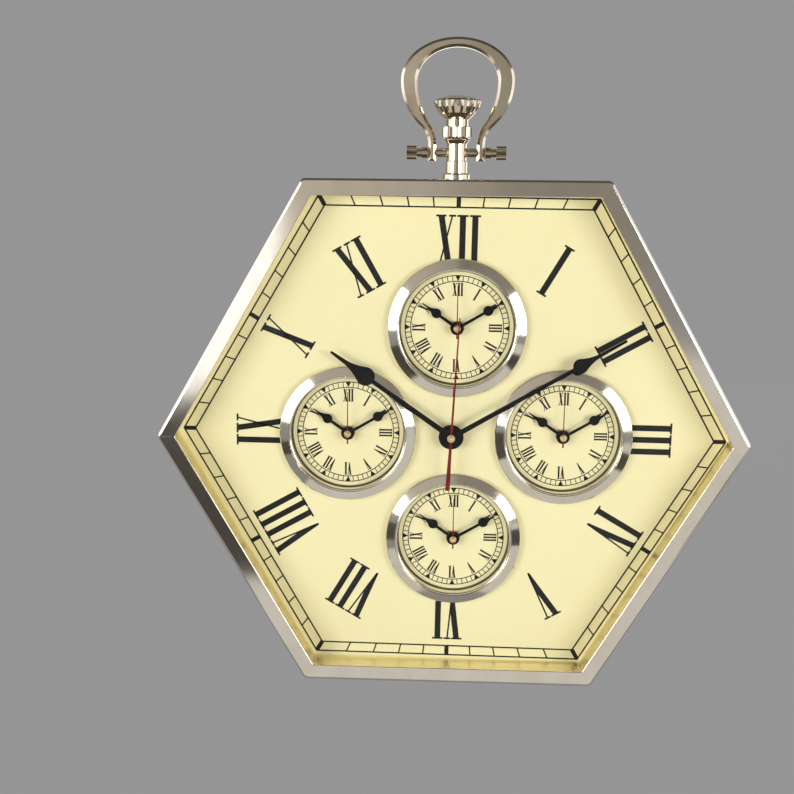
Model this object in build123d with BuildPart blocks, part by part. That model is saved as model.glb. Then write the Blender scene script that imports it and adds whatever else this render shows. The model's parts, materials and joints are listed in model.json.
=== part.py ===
from build123d import *
import os
from math import atan2, cos, degrees, radians, sin, sqrt

# World time wall clock in the form of a fob watch. Millimetres, +Z up. The dial faces -Y, the wall is the
# plane y = 0, and the origin is on the axis of the hanging screw. Heights are measured forwards from the
# wall, x and z from the centre of the case, and hand angles clockwise from twelve.

# Clearances
SEAT_GAP = 0.3
RUNNING_GAP = 0.06
SCREW_GAP = 0.05

# Case
CASE_WIDTH = 457.2
CASE_DEPTH = 54.0
CASE_SHEET = 1.2
CASE_CORNER_RADIUS = 5.0
RIM_WIDTH = 12.6
RIM_FOLD_RADIUS = 2.6
RIM_LIP_RADIUS = 0.5
OPENING_CORNER_RADIUS = 2.0
GLASS_THICKNESS = 3.0
DIAL_RECESS = 26.0
DIAL_THICKNESS = 3.0
BAND_SHEET = 1.2
BAND_SETBACK = 2.3
BOARD_THICKNESS = 4.0
BOARD_CORNER_RADIUS = 4.0
BLOCK_RADIUS = 24.0
SCREW_INSET = 14.0
SCREW_RADIUS = 1.6
SCREW_HEAD_RADIUS = 3.4
SCREW_HEAD_ANGLE = 90.0
SCREW_LENGTH = 14.0
CUTOUT_MARGIN = 3.0
CUTOUT_CORNER_RADIUS = 5.0

# Wall hanger
HANGER_DROP = 48.6
HANGER_WIDTH = 52.0
HANGER_BELOW = 10.0
HANGER_ABOVE = 16.0
HANGER_THICKNESS = 2.0
HANGER_CORNER_RADIUS = 4.0
HANGER_HOLE_RADIUS = 5.0
HANGER_SLOT_RADIUS = 2.6
HANGER_SLOT_RISE = 9.0
HANGER_SCREW_SPACING = 38.0
HANGER_SCREW_LENGTH = 3.8
HANGER_POCKET_MARGIN = 2.0

# Small clocks
SMALL_CLOCK_SHIFT = 3.1
SMALL_CLOCK_DISTANCE = 85.0
SMALL_DIAL_RADIUS = 51.0
SMALL_DIAL_THICKNESS = 1.0
BEZEL_RADIUS = 53.9
BEZEL_OPENING_RADIUS = 44.8
BEZEL_HEIGHT = 6.6
BEZEL_EDGE_HEIGHT = 4.7
BEZEL_EDGE_ROUND = 0.5
BEZEL_FACE_WIDTH = 7.0
BEZEL_BEAD_RISE = 0.5
BEZEL_STEP = 0.7
BEZEL_SKIRT = 2.0

# Pendant: radii, and heights above the top of the case
PENDANT_HEIGHT = 18.5
FLANGE_RADIUS = 10.4
FLANGE_TOP = 4.6
FLANGE_ROUND = 1.6
SLEEVE_RADIUS = 8.3
SLEEVE_TOP = 13.2
STEM_RADIUS = 7.7
STEM_TOP = 26.4
LIP_RADIUS = 9.7
LIP_ROUND = 1.5
LIP_TOP = 30.8
SPINDLE_RADIUS = 7.0
COLLAR_RADIUS = 11.4
COLLAR_TOP = 39.4
COLLAR_RIBS = 28
COLLAR_RIB_DEPTH = 0.7
COLLAR_CHAMFER = 1.0
SPIGOT_RADIUS = 4.0
SPIGOT_LENGTH = 9.0
NUT_ACROSS_FLATS = 12.0
NUT_THICKNESS = 5.0
CROWN_NECK_RADIUS = 9.0
CROWN_NECK_TOP = 44.4
CROWN_RADIUS = 18.0
CROWN_EDGE = 58.0
CROWN_TOP = 62.6
CROWN_NECK_STEP = 0.4
CROWN_BEVEL = 1.2
CROWN_STEPS = 3
CROWN_FLUTES = 22
CROWN_FLUTE_DEPTH = 1.1
CROWN_STUD_RADIUS = 4.0
CROWN_STUD_LENGTH = 10.0

# Bow and its cross pin
PIN_RISE = 19.8
PIN_RADIUS = 3.4
PIN_END_RADIUS = 2.0
PIN_END_LENGTH = 19.5
BOW_TOP = 104.6
BOW_SIDE_RISE = 73.0
BOW_HALF_WIDTH = 42.8
BOW_SIDE_THICKNESS = 12.4
BOW_TOP_THICKNESS = 7.2
BOW_LEG_INNER = 15.5
BOW_LEG_THICKNESS = 6.0
BOW_KNEE_RISE = 25.5
BOW_BEND_SHARE = 0.70
BOW_FOOT = 6.5
BOW_DEPTH = 8.0
BOW_BEVEL = 2.0
QUARTER_TURN = 90
KNOB_COLLAR_RADIUS = 4.2
KNOB_COLLAR_LENGTH = 4.6
KNOB_WAIST_RADIUS = 3.3
KNOB_WAIST_LENGTH = 3.8
KNOB_HEAD_RADIUS = 5.1
KNOB_HEAD_LENGTH = 7.6
KNOB_RIBS = 24
KNOB_RIB_DEPTH = 0.4

# Hands
HOUR = 10
MINUTE = 9.9
SECOND_ANGLE = 3.0
HAND_THICKNESS = 0.8
SMALL_HAND_THICKNESS = 0.5
SECOND_THICKNESS = 0.4
HOUR_HAND_RISE = 8.2
MINUTE_HAND_RISE = 10.6
SECOND_HAND_RISE = 13.0
HAND_LEVELS_SMALL = 3.2
HAND_STEP_SMALL = 1.7
HOUR_BOSS_RADIUS = 9.8
MINUTE_BOSS_RADIUS = 7.4
SMALL_BOSS_RADIUS = 5.2
SMALL_CAP_RADIUS = 2.4
CAP_RADIUS = 2.7
CAP_RISE = 1.6
COLLET_RADIUS = 3.6
COLLET_LENGTH = 0.9
SECOND_LENGTH = 94.5
SECOND_TAIL = 42.3
SECOND_ROOT_WIDTH = 1.8
SECOND_TIP_WIDTH = 1.0
SECOND_TAIL_WIDTH = 3.6
SMALL_SECOND_LENGTH = 33.5
SMALL_SECOND_TAIL = 8.0
SMALL_SECOND_ROOT_WIDTH = 0.9
SMALL_SECOND_TIP_WIDTH = 0.6
SMALL_SECOND_TAIL_WIDTH = 1.3
FLANK_STEPS = 8
HOUR_BLADE = dict(
    length=115.5, lobe_rise=82.5, lobe_radius=7.4, root_width=4.4,
    end_width=3.3, neck_rise=105.0, neck_width=3.0, tip_width=1.8,
)
MINUTE_BLADE = dict(
    length=154.5, lobe_rise=114.5, lobe_radius=5.8, root_width=4.0,
    end_width=2.9, neck_rise=132.0, neck_width=2.8, tip_width=2.0,
)
SMALL_HOUR_BLADE = dict(
    length=33.5, lobe_rise=19.8, lobe_radius=3.8, root_width=2.6,
    end_width=2.2, neck_rise=29.5, neck_width=1.3, tip_width=0.8,
)
SMALL_MINUTE_BLADE = dict(
    length=38.0, lobe_rise=27.6, lobe_radius=3.9, root_width=2.4,
    end_width=2.1, neck_rise=36.5, neck_width=1.3, tip_width=0.8,
)

# Movements: a plastic case with the works above a battery bay, seen from the dial side
MOVEMENT_SIZE = 56.0
MOVEMENT_DEPTH = 16.5
MOVEMENT_WALL = 1.5
MOVEMENT_CORNER_RADIUS = 3.0
BATTERY_RADIUS = 7.1
BATTERY_END_GAP = 1.5
BATTERY_NUB_RADIUS = 2.6
BATTERY_NUB_LENGTH = 1.4
PARTITION_WALL = 1.0
BUSH_RADIUS = 4.0
BUSH_LENGTH_MAIN = 9.8
BUSH_LENGTH_SMALL = 3.6
BUSH_NUT_FLATS = 10.6
BUSH_NUT_THICKNESS = 2.2
HOUR_TUBE_RADIUS = 2.3
MINUTE_TUBE_RADIUS = 1.4
SECOND_PIN_RADIUS = 0.5
TUBE_STEP = 0.6
SMALL_BEARING_LENGTH = 3.0
SET_SHAFT_RADIUS = 1.2
SET_KNOB_RADIUS = 6.0
SET_KNOB_LENGTH = 4.0
SET_KNOB_RIBS = 18
SET_KNOB_RIB_DEPTH = 0.5
SET_KNOB_STANDOFF = 0.4
SMALL_SET_SHAFT_DEPTH = 8.0

# Wheel train: tooth counts, modules and proportions
CANNON_TEETH = 8
MINUTE_WHEEL_TEETH = 24
MINUTE_PINION_TEETH = 6
HOUR_WHEEL_TEETH = 24
SET_PINION_TEETH = 10
SECOND_PINION_TEETH = 6
THIRD_WHEEL_TEETH = 45
THIRD_PINION_TEETH = 6
CENTRE_WHEEL_TEETH = 48
STEP_PINION_TEETH = 8
SECOND_WHEEL_TEETH = 40
ROTOR_PINION_TEETH = 6
STEP_WHEEL_TEETH = 36
MOTION_MODULE = 0.6
THIRD_MODULE = 0.32
STEP_MODULE = 0.36
ROTOR_MODULE = 0.30
ADDENDUM = 0.8
DEDENDUM = 1.25
TOOTH_ROOT_SHARE = 0.30
TOOTH_TIP_SHARE = 0.10
MINUTE_WORK_ANGLE = 0.0
THIRD_ANGLE = 180.0
STEP_ANGLE = 80.0
ROTOR_ANGLE = 60.0
SET_TOOTH = 15
ARBOR_RADIUS = 0.4
MINUTE_STUD_RADIUS = 0.8
PIVOT_DEPTH = 0.8
WHEEL_THICKNESS = 1.0
LAYER_GAP = 0.5
TRAIN_PLATE_THICKNESS = 1.2
TRAIN_PLATE_MARGIN = 2.4
TRAIN_POST_RADIUS = 1.5
ROTOR_MAGNET_RADIUS = 2.4
ROTOR_MAGNET_LENGTH = 3.0
STATOR_THICKNESS = 0.8
STATOR_REACH = 10.0
STATOR_ARM_WIDTH = 3.5
STATOR_HOLE_GAP = 0.5
STATOR_BRIDGE = 1.2
STATOR_PEG_RADIUS = 1.0
COIL_RADIUS = 3.0
COIL_FLANGE_THICKNESS = 0.8
COIL_CORE_WIDTH = 2.4
BOARD_POST_RADIUS = 1.2
CIRCUIT_THICKNESS = 1.0
CIRCUIT_LENGTH = 15.0
CIRCUIT_WIDTH = 8.0
CRYSTAL_RADIUS = 1.0
CRYSTAL_LENGTH = 6.0

# Heights that follow from the sizes above
HEX_RADIUS = CASE_WIDTH / 2 + CASE_CORNER_RADIUS * (1 / cos(radians(30)) - 1)
CASE_APOTHEM = HEX_RADIUS * cos(radians(30))
HANGER_RISE = CASE_APOTHEM - HANGER_DROP
CENTRE_Z = -HANGER_RISE
INNER_APOTHEM = CASE_APOTHEM - CASE_SHEET
OPENING_APOTHEM = CASE_APOTHEM - RIM_WIDTH
CASE_TOP = CENTRE_Z + CASE_APOTHEM
GLASS_FRONT = CASE_DEPTH - CASE_SHEET
GLASS_BACK = GLASS_FRONT - GLASS_THICKNESS
DIAL_FRONT = CASE_DEPTH - DIAL_RECESS
DIAL_BACK = DIAL_FRONT - DIAL_THICKNESS
HOUR_HAND_HEIGHT = DIAL_FRONT + HOUR_HAND_RISE
MINUTE_HAND_HEIGHT = DIAL_FRONT + MINUTE_HAND_RISE
SECOND_HAND_HEIGHT = DIAL_FRONT + SECOND_HAND_RISE
SMALL_DIAL_BACK = DIAL_BACK - SMALL_DIAL_THICKNESS
BLOCK_CENTRE = INNER_APOTHEM / cos(radians(30))
SCREW_CIRCLE = BLOCK_CENTRE - SCREW_INSET
CUTOUT_SIZE = MOVEMENT_SIZE + 2 * CUTOUT_MARGIN
WINDOW_RADIUS = BEZEL_OPENING_RADIUS + BEZEL_SKIRT + SEAT_GAP
HOUR_ANGLE = 30 * (HOUR + MINUTE / 60)
MINUTE_ANGLE = 6 * MINUTE

# Layers of the main movement, as depths behind its front face
HOUR_LAYER = MOVEMENT_WALL + LAYER_GAP
MINUTE_LAYER = HOUR_LAYER + WHEEL_THICKNESS + LAYER_GAP
PLATE_LAYER = MINUTE_LAYER + WHEEL_THICKNESS + LAYER_GAP
CENTRE_LAYER = PLATE_LAYER + TRAIN_PLATE_THICKNESS + LAYER_GAP
THIRD_LAYER = CENTRE_LAYER + WHEEL_THICKNESS + LAYER_GAP
SECOND_LAYER = THIRD_LAYER + WHEEL_THICKNESS + LAYER_GAP
STEP_LAYER = SECOND_LAYER + WHEEL_THICKNESS + LAYER_GAP
COVER_LAYER = MOVEMENT_DEPTH - MOVEMENT_WALL
STATOR_LAYER = CENTRE_LAYER + WHEEL_THICKNESS
ARBOR_FRONT = PLATE_LAYER + TRAIN_PLATE_THICKNESS - PIVOT_DEPTH
ARBOR_BACK = COVER_LAYER + PIVOT_DEPTH
BATTERY_LENGTH = MOVEMENT_SIZE - 2 * (MOVEMENT_WALL + BATTERY_END_GAP)
BATTERY_DEPTH = MOVEMENT_WALL + SEAT_GAP + BATTERY_RADIUS
BATTERY_DROP = MOVEMENT_SIZE / 2 - MOVEMENT_WALL - SEAT_GAP - BATTERY_RADIUS
BAY_TOP = -BATTERY_DROP + BATTERY_RADIUS + SEAT_GAP
WORKS_BOTTOM = BAY_TOP + PARTITION_WALL
WORKS_TOP = MOVEMENT_SIZE / 2 - MOVEMENT_WALL

# Wheel centres of the main movement, from its own axis
MOTION_DISTANCE = MOTION_MODULE * (CANNON_TEETH + MINUTE_WHEEL_TEETH) / 2
HOUR_MODULE = 2 * MOTION_DISTANCE / (MINUTE_PINION_TEETH + HOUR_WHEEL_TEETH)
THIRD_DISTANCE = THIRD_MODULE * (SECOND_PINION_TEETH + THIRD_WHEEL_TEETH) / 2
CENTRE_MODULE = 2 * THIRD_DISTANCE / (THIRD_PINION_TEETH + CENTRE_WHEEL_TEETH)
STEP_DISTANCE = STEP_MODULE * (STEP_PINION_TEETH + SECOND_WHEEL_TEETH) / 2
ROTOR_DISTANCE = ROTOR_MODULE * (ROTOR_PINION_TEETH + STEP_WHEEL_TEETH) / 2
SET_DISTANCE = MOTION_MODULE * (MINUTE_WHEEL_TEETH + SET_PINION_TEETH) / 2


def polar(distance, angle, start=(0.0, 0.0)):
    """A point at a distance and an angle, counter-clockwise from +x, from a start point."""
    return (start[0] + distance * cos(radians(angle)), start[1] + distance * sin(radians(angle)))


def facing_angle(teeth, angle):
    """The phase that turns a gap of a gear to the gear which meets it from the given angle."""
    return angle + 180 + 180 / teeth


MINUTE_WORK = polar(MOTION_DISTANCE, MINUTE_WORK_ANGLE)
MINUTE_WHEEL_PHASE = facing_angle(MINUTE_WHEEL_TEETH, MINUTE_WORK_ANGLE)
SET_ANGLE = MINUTE_WHEEL_PHASE + SET_TOOTH * 360 / MINUTE_WHEEL_TEETH
SET_CENTRE = polar(SET_DISTANCE, SET_ANGLE, MINUTE_WORK)
THIRD_CENTRE = polar(THIRD_DISTANCE, THIRD_ANGLE)
STEP_CENTRE = polar(STEP_DISTANCE, STEP_ANGLE)
ROTOR_CENTRE = polar(ROTOR_DISTANCE, ROTOR_ANGLE, STEP_CENTRE)

# The small clocks' centres, round a middle a little to the right of the large dial's axis
SMALL_MIDDLE = (SMALL_CLOCK_SHIFT, 0.0)
SMALL_CLOCKS = {
    "top": polar(SMALL_CLOCK_DISTANCE, 90, SMALL_MIDDLE),
    "left": polar(SMALL_CLOCK_DISTANCE, 180, SMALL_MIDDLE),
    "right": polar(SMALL_CLOCK_DISTANCE, 0, SMALL_MIDDLE),
    "bottom": polar(SMALL_CLOCK_DISTANCE, 270, SMALL_MIDDLE),
}
ALL_CENTRES = [(0.0, 0.0), *SMALL_CLOCKS.values()]


def facing(height, place=(0.0, 0.0), turn=0.0):
    """A plane parallel to the dial: local x to the right, local y up, normal to the front."""
    right = (cos(radians(turn)), 0, -sin(radians(turn)))
    return Plane(origin=(place[0], -height, CENTRE_Z + place[1]), x_dir=right, z_dir=(0, -1, 0))


def section(height, place=(0.0, 0.0)):
    """A plane through a clock's axis: local x outwards, local y to the front."""
    return Plane(origin=(place[0], -height, CENTRE_Z + place[1]), x_dir=(1, 0, 0), z_dir=(0, 0, -1))


def clock_axis(place=(0.0, 0.0)):
    """The axis of a clock, which points into the wall."""
    return Axis((place[0], 0, CENTRE_Z + place[1]), (0, 1, 0))


def hexagon(apothem, corner):
    """A hexagon on a flat side, with rounded corners."""
    with BuildSketch(mode=Mode.PRIVATE) as outline:
        RegularPolygon(apothem, 6, major_radius=False)
        fillet(outline.vertices(), corner)
    return outline.sketch


def star(points, outer, depth):
    """A ring of straight ribs: a polygon whose corners stand in and out by turns."""
    with BuildSketch(mode=Mode.PRIVATE) as outline:
        with BuildLine():
            corners = [polar(outer - depth * (i % 2), i * 180 / points) for i in range(2 * points)]
            Polyline(*corners, close=True)
        make_face()
    return outline.sketch


def gear(teeth, module, phase):
    """A gear outline with straight flanks and one tooth centred on the phase angle."""
    tip = module * (teeth / 2 + ADDENDUM)
    root = module * (teeth / 2 - DEDENDUM)
    pitch = 360 / teeth
    corners = []
    for tooth in range(teeth):
        middle = phase + tooth * pitch
        corners.append(polar(root, middle - TOOTH_ROOT_SHARE * pitch))
        corners.append(polar(tip, middle - TOOTH_TIP_SHARE * pitch))
        corners.append(polar(tip, middle + TOOTH_TIP_SHARE * pitch))
        corners.append(polar(root, middle + TOOTH_ROOT_SHARE * pitch))
    with BuildSketch(mode=Mode.PRIVATE) as outline:
        with BuildLine():
            Polyline(*corners, close=True)
        make_face()
    return outline.sketch


def spade(length, lobe_rise, lobe_radius, root_width, end_width, neck_rise, neck_width, tip_width):
    """A spade hand that points up: a tapered shank, a round lobe, hollow flanks and a slim point.

    The lobe is left where an arc that touches it there runs out along the hand at the neck.
    """
    shoulder = lobe_rise - sqrt(lobe_radius ** 2 - (end_width / 2) ** 2)
    turn = 0.0
    for _ in range(FLANK_STEPS):
        across_flank = lobe_radius * cos(turn) - neck_width / 2
        turn = 2 * atan2(across_flank, neck_rise - lobe_rise - lobe_radius * sin(turn))
    with BuildSketch(mode=Mode.PRIVATE) as outline:
        with BuildLine():
            Line((0, 0), (root_width / 2, 0))
            Line((root_width / 2, 0), (end_width / 2, shoulder))
            flank = polar(lobe_radius, degrees(turn), (0, lobe_rise))
            ThreePointArc((end_width / 2, shoulder), (lobe_radius, lobe_rise), flank)
            TangentArc(flank, (neck_width / 2, neck_rise), tangent=(-sin(turn), cos(turn)))
            Line((neck_width / 2, neck_rise), (tip_width / 2, length))
            Line((tip_width / 2, length), (0, length))
            mirror(about=Plane.YZ)
        make_face()
    return outline.sketch


def needle(length, tail, root_width, tip_width, tail_width):
    """A slim seconds hand that points up, with a tail that widens."""
    with BuildSketch(mode=Mode.PRIVATE) as outline:
        with BuildLine():
            Polyline(
                (0, -tail),
                (tail_width / 2, -tail),
                (root_width / 2, 0),
                (tip_width / 2, length),
                (0, length),
            )
            mirror(about=Plane.YZ)
        make_face()
    return outline.sketch


def keep(piece, name):
    """Label a finished piece and write it as a sub-part."""
    piece.label = name
    export_step(piece, f"parts/{name}.step")


os.makedirs("parts", exist_ok=True)

# Case shell: a hexagonal sheet case, open at the back, with a wide opening in its folded rim
with BuildPart() as case_shell:
    with BuildSketch(facing(0)):
        add(hexagon(CASE_APOTHEM, CASE_CORNER_RADIUS))
    extrude(amount=CASE_DEPTH)
    fillet(case_shell.faces().sort_by(Axis.Y)[0].edges(), RIM_FOLD_RADIUS)
    offset(amount=-CASE_SHEET, openings=case_shell.faces().sort_by(Axis.Y)[-1])
    with BuildSketch(facing(GLASS_FRONT)):
        add(hexagon(OPENING_APOTHEM, OPENING_CORNER_RADIUS))
    extrude(amount=CASE_SHEET, mode=Mode.SUBTRACT)
    lip = case_shell.faces().sort_by(Axis.Y)[0].inner_wires()[0]
    fillet(lip.edges(), RIM_LIP_RADIUS)
    with BuildSketch(Plane.XY.offset(CASE_TOP - CASE_SHEET)):
        with Locations((0, -PENDANT_HEIGHT)):
            Circle(SPIGOT_RADIUS + SEAT_GAP)
    extrude(amount=CASE_SHEET, mode=Mode.SUBTRACT)
keep(case_shell.part, "case_shell")

# Glass: a flat pane behind the rim
with BuildPart() as front_glass:
    with BuildSketch(facing(GLASS_BACK)):
        add(hexagon(CASE_APOTHEM - RIM_FOLD_RADIUS - SEAT_GAP, CASE_CORNER_RADIUS))
    extrude(amount=GLASS_THICKNESS)
keep(front_glass.part, "front_glass")

# Spacer band: an angle-section band that holds the glass off the dial
with BuildPart() as spacer_band:
    with BuildSketch(facing(DIAL_FRONT)):
        add(hexagon(OPENING_APOTHEM + BAND_SETBACK + BAND_SHEET, OPENING_CORNER_RADIUS + BAND_SHEET))
        add(hexagon(OPENING_APOTHEM + BAND_SETBACK, OPENING_CORNER_RADIUS), mode=Mode.SUBTRACT)
    extrude(amount=GLASS_BACK - DIAL_FRONT)
    with BuildSketch(facing(GLASS_BACK - BAND_SHEET)):
        add(hexagon(INNER_APOTHEM - SEAT_GAP, CASE_CORNER_RADIUS))
        add(hexagon(OPENING_APOTHEM + BAND_SETBACK, OPENING_CORNER_RADIUS), mode=Mode.SUBTRACT)
    extrude(amount=BAND_SHEET)
keep(spacer_band.part, "spacer_band")

# Dial plate: the large dial, with a window for each small clock and a hole for the main bush
with BuildPart() as dial_plate:
    with BuildSketch(facing(DIAL_BACK)):
        add(hexagon(INNER_APOTHEM - SEAT_GAP, CASE_CORNER_RADIUS))
        Circle(BUSH_RADIUS + SEAT_GAP, mode=Mode.SUBTRACT)
        with Locations(*SMALL_CLOCKS.values()):
            Circle(WINDOW_RADIUS, mode=Mode.SUBTRACT)
    extrude(amount=DIAL_THICKNESS)
keep(dial_plate.part, "dial_plate")

# Small dials: discs behind the windows
with BuildPart() as small_dials:
    with BuildSketch(facing(SMALL_DIAL_BACK)):
        with Locations(*SMALL_CLOCKS.values()):
            Circle(SMALL_DIAL_RADIUS)
            Circle(BUSH_RADIUS + SEAT_GAP, mode=Mode.SUBTRACT)
    extrude(amount=SMALL_DIAL_THICKNESS)
keep(small_dials.part, "small_dials")

# Bezels: turned rings with a coned face, a bead at the opening and a skirt in the window
for place, centre in SMALL_CLOCKS.items():
    with BuildPart() as bezel:
        with BuildSketch(section(DIAL_FRONT, centre)):
            with BuildLine():
                crest = BEZEL_RADIUS - BEZEL_FACE_WIDTH
                bead_top = BEZEL_HEIGHT - BEZEL_STEP
                bead_middle = (crest + BEZEL_OPENING_RADIUS) / 2
                skirt = BEZEL_OPENING_RADIUS + BEZEL_SKIRT
                bead_foot = (BEZEL_OPENING_RADIUS, bead_top - BEZEL_SKIRT / 2)
                Polyline(
                    bead_foot,
                    (BEZEL_OPENING_RADIUS, -DIAL_THICKNESS),
                    (skirt, -DIAL_THICKNESS),
                    (skirt, 0),
                    (BEZEL_RADIUS, 0),
                    (BEZEL_RADIUS, BEZEL_EDGE_HEIGHT - BEZEL_EDGE_ROUND),
                    (BEZEL_RADIUS - BEZEL_EDGE_ROUND, BEZEL_EDGE_HEIGHT),
                    (crest, BEZEL_HEIGHT),
                    (crest, bead_top),
                )
                ThreePointArc((crest, bead_top), (bead_middle, bead_top + BEZEL_BEAD_RISE), bead_foot)
            make_face()
        revolve(axis=clock_axis(centre))
    keep(bezel.part, f"{place}_bezel")

# Corner blocks: sectors glued into the corners between the dial and the back board
CORNER_ANGLES = [60 * corner for corner in range(6)]
with BuildPart() as corner_blocks:
    with BuildSketch(facing(BOARD_THICKNESS)):
        add(hexagon(INNER_APOTHEM - SEAT_GAP, CASE_CORNER_RADIUS))
        with Locations(*[polar(BLOCK_CENTRE, angle) for angle in CORNER_ANGLES]):
            Circle(BLOCK_RADIUS, mode=Mode.INTERSECT)
    extrude(amount=DIAL_BACK - BOARD_THICKNESS)
    with Locations(facing(BOARD_THICKNESS)):
        with Locations(*[polar(SCREW_CIRCLE, angle) for angle in CORNER_ANGLES]):
            Cylinder(
                SCREW_RADIUS + SCREW_GAP,
                2 * (SCREW_LENGTH - BOARD_THICKNESS + SEAT_GAP),
                mode=Mode.SUBTRACT,
            )
keep(corner_blocks.part, "corner_blocks")

# Back board: cut out behind each movement, let in and pocketed for the hanger plate
HANGER_CENTRE = (0, HANGER_RISE + (HANGER_ABOVE - HANGER_BELOW) / 2)
HANGER_TALL = HANGER_ABOVE + HANGER_BELOW
HANGER_SCREWS = [(side * HANGER_SCREW_SPACING / 2, HANGER_CENTRE[1]) for side in (-1, 1)]
HANGER_HOLE = (0, HANGER_RISE)
HANGER_SLOT_TOP = (0, HANGER_RISE + HANGER_SLOT_RISE)


def countersunk_holes(centres, depth):
    """Countersunk screw holes from the wall side, at the given places."""
    with Locations(Plane(facing(0).origin, x_dir=(1, 0, 0), z_dir=(0, 1, 0))):
        with Locations(*[(x, -z) for x, z in centres]):
            CounterSinkHole(SCREW_RADIUS + SCREW_GAP, SCREW_HEAD_RADIUS + SCREW_GAP, depth, SCREW_HEAD_ANGLE)


with BuildPart() as back_board:
    with BuildSketch(facing(0)):
        add(hexagon(INNER_APOTHEM - SEAT_GAP, BOARD_CORNER_RADIUS))
        with Locations(*ALL_CENTRES):
            RectangleRounded(CUTOUT_SIZE, CUTOUT_SIZE, CUTOUT_CORNER_RADIUS, mode=Mode.SUBTRACT)
        with Locations((0, HANGER_RISE + HANGER_SLOT_RISE / 2)):
            RectangleRounded(
                2 * (HANGER_HOLE_RADIUS + HANGER_POCKET_MARGIN),
                HANGER_SLOT_RISE + 2 * (HANGER_HOLE_RADIUS + HANGER_POCKET_MARGIN),
                HANGER_HOLE_RADIUS,
                mode=Mode.SUBTRACT,
            )
    extrude(amount=BOARD_THICKNESS)
    with BuildSketch(facing(0)):
        with Locations(HANGER_CENTRE):
            RectangleRounded(HANGER_WIDTH + SEAT_GAP, HANGER_TALL + SEAT_GAP, HANGER_CORNER_RADIUS)
    extrude(amount=HANGER_THICKNESS, mode=Mode.SUBTRACT)
    countersunk_holes([polar(SCREW_CIRCLE, angle) for angle in CORNER_ANGLES], BOARD_THICKNESS)
    with BuildSketch(facing(HANGER_THICKNESS)):
        with Locations(*HANGER_SCREWS):
            Circle(SCREW_RADIUS + SCREW_GAP)
    extrude(amount=BOARD_THICKNESS - HANGER_THICKNESS, mode=Mode.SUBTRACT)
keep(back_board.part, "back_board")

# Hanger plate: a keyhole plate flush with the back of the board
with BuildPart() as hanger_plate:
    with BuildSketch(facing(0)):
        with Locations(HANGER_CENTRE):
            RectangleRounded(HANGER_WIDTH, HANGER_TALL, HANGER_CORNER_RADIUS)
        with Locations(HANGER_HOLE):
            Circle(HANGER_HOLE_RADIUS, mode=Mode.SUBTRACT)
        with Locations(HANGER_SLOT_TOP):
            Circle(HANGER_SLOT_RADIUS, mode=Mode.SUBTRACT)
        with Locations((0, HANGER_RISE + HANGER_SLOT_RISE / 2)):
            Rectangle(2 * HANGER_SLOT_RADIUS, HANGER_SLOT_RISE, mode=Mode.SUBTRACT)
    extrude(amount=HANGER_THICKNESS)
    countersunk_holes(HANGER_SCREWS, HANGER_THICKNESS)
keep(hanger_plate.part, "hanger_plate")

# Back screws: countersunk, flush with the wall face; six for the board and two for the hanger plate
with BuildPart() as back_screws:
    long_screws = [(*polar(SCREW_CIRCLE, angle), SCREW_LENGTH) for angle in CORNER_ANGLES]
    short_screws = [(x, z, HANGER_SCREW_LENGTH) for x, z in HANGER_SCREWS]
    for x, z, length in long_screws + short_screws:
        with BuildSketch(section(0, (x, z))):
            with BuildLine():
                Polyline(
                    (0, 0),
                    (SCREW_HEAD_RADIUS, 0),
                    (SCREW_RADIUS, SCREW_HEAD_RADIUS - SCREW_RADIUS),
                    (SCREW_RADIUS, length),
                    (0, length),
                    close=True,
                )
            make_face()
        revolve(axis=clock_axis((x, z)))
keep(back_screws.part, "back_screws")

# Pendant: planes and axes on the top of the case
PENDANT_FOOT = Plane(origin=(0, -PENDANT_HEIGHT, CASE_TOP), x_dir=(1, 0, 0), z_dir=(0, -1, 0))
PENDANT_AXIS = Axis((0, -PENDANT_HEIGHT, CASE_TOP), (0, 0, 1))


def pendant_level(height):
    """A level plane on the pendant's axis, at a height above the top of the case."""
    return Plane(origin=(0, -PENDANT_HEIGHT, CASE_TOP + height), x_dir=(1, 0, 0), z_dir=(0, 0, 1))


def across(x):
    """A plane square to the cross pin, at a distance from the pendant's axis."""
    return Plane(origin=(x, -PENDANT_HEIGHT, CASE_TOP + PIN_RISE), x_dir=(0, 1, 0), z_dir=(1, 0, 0))


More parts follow.
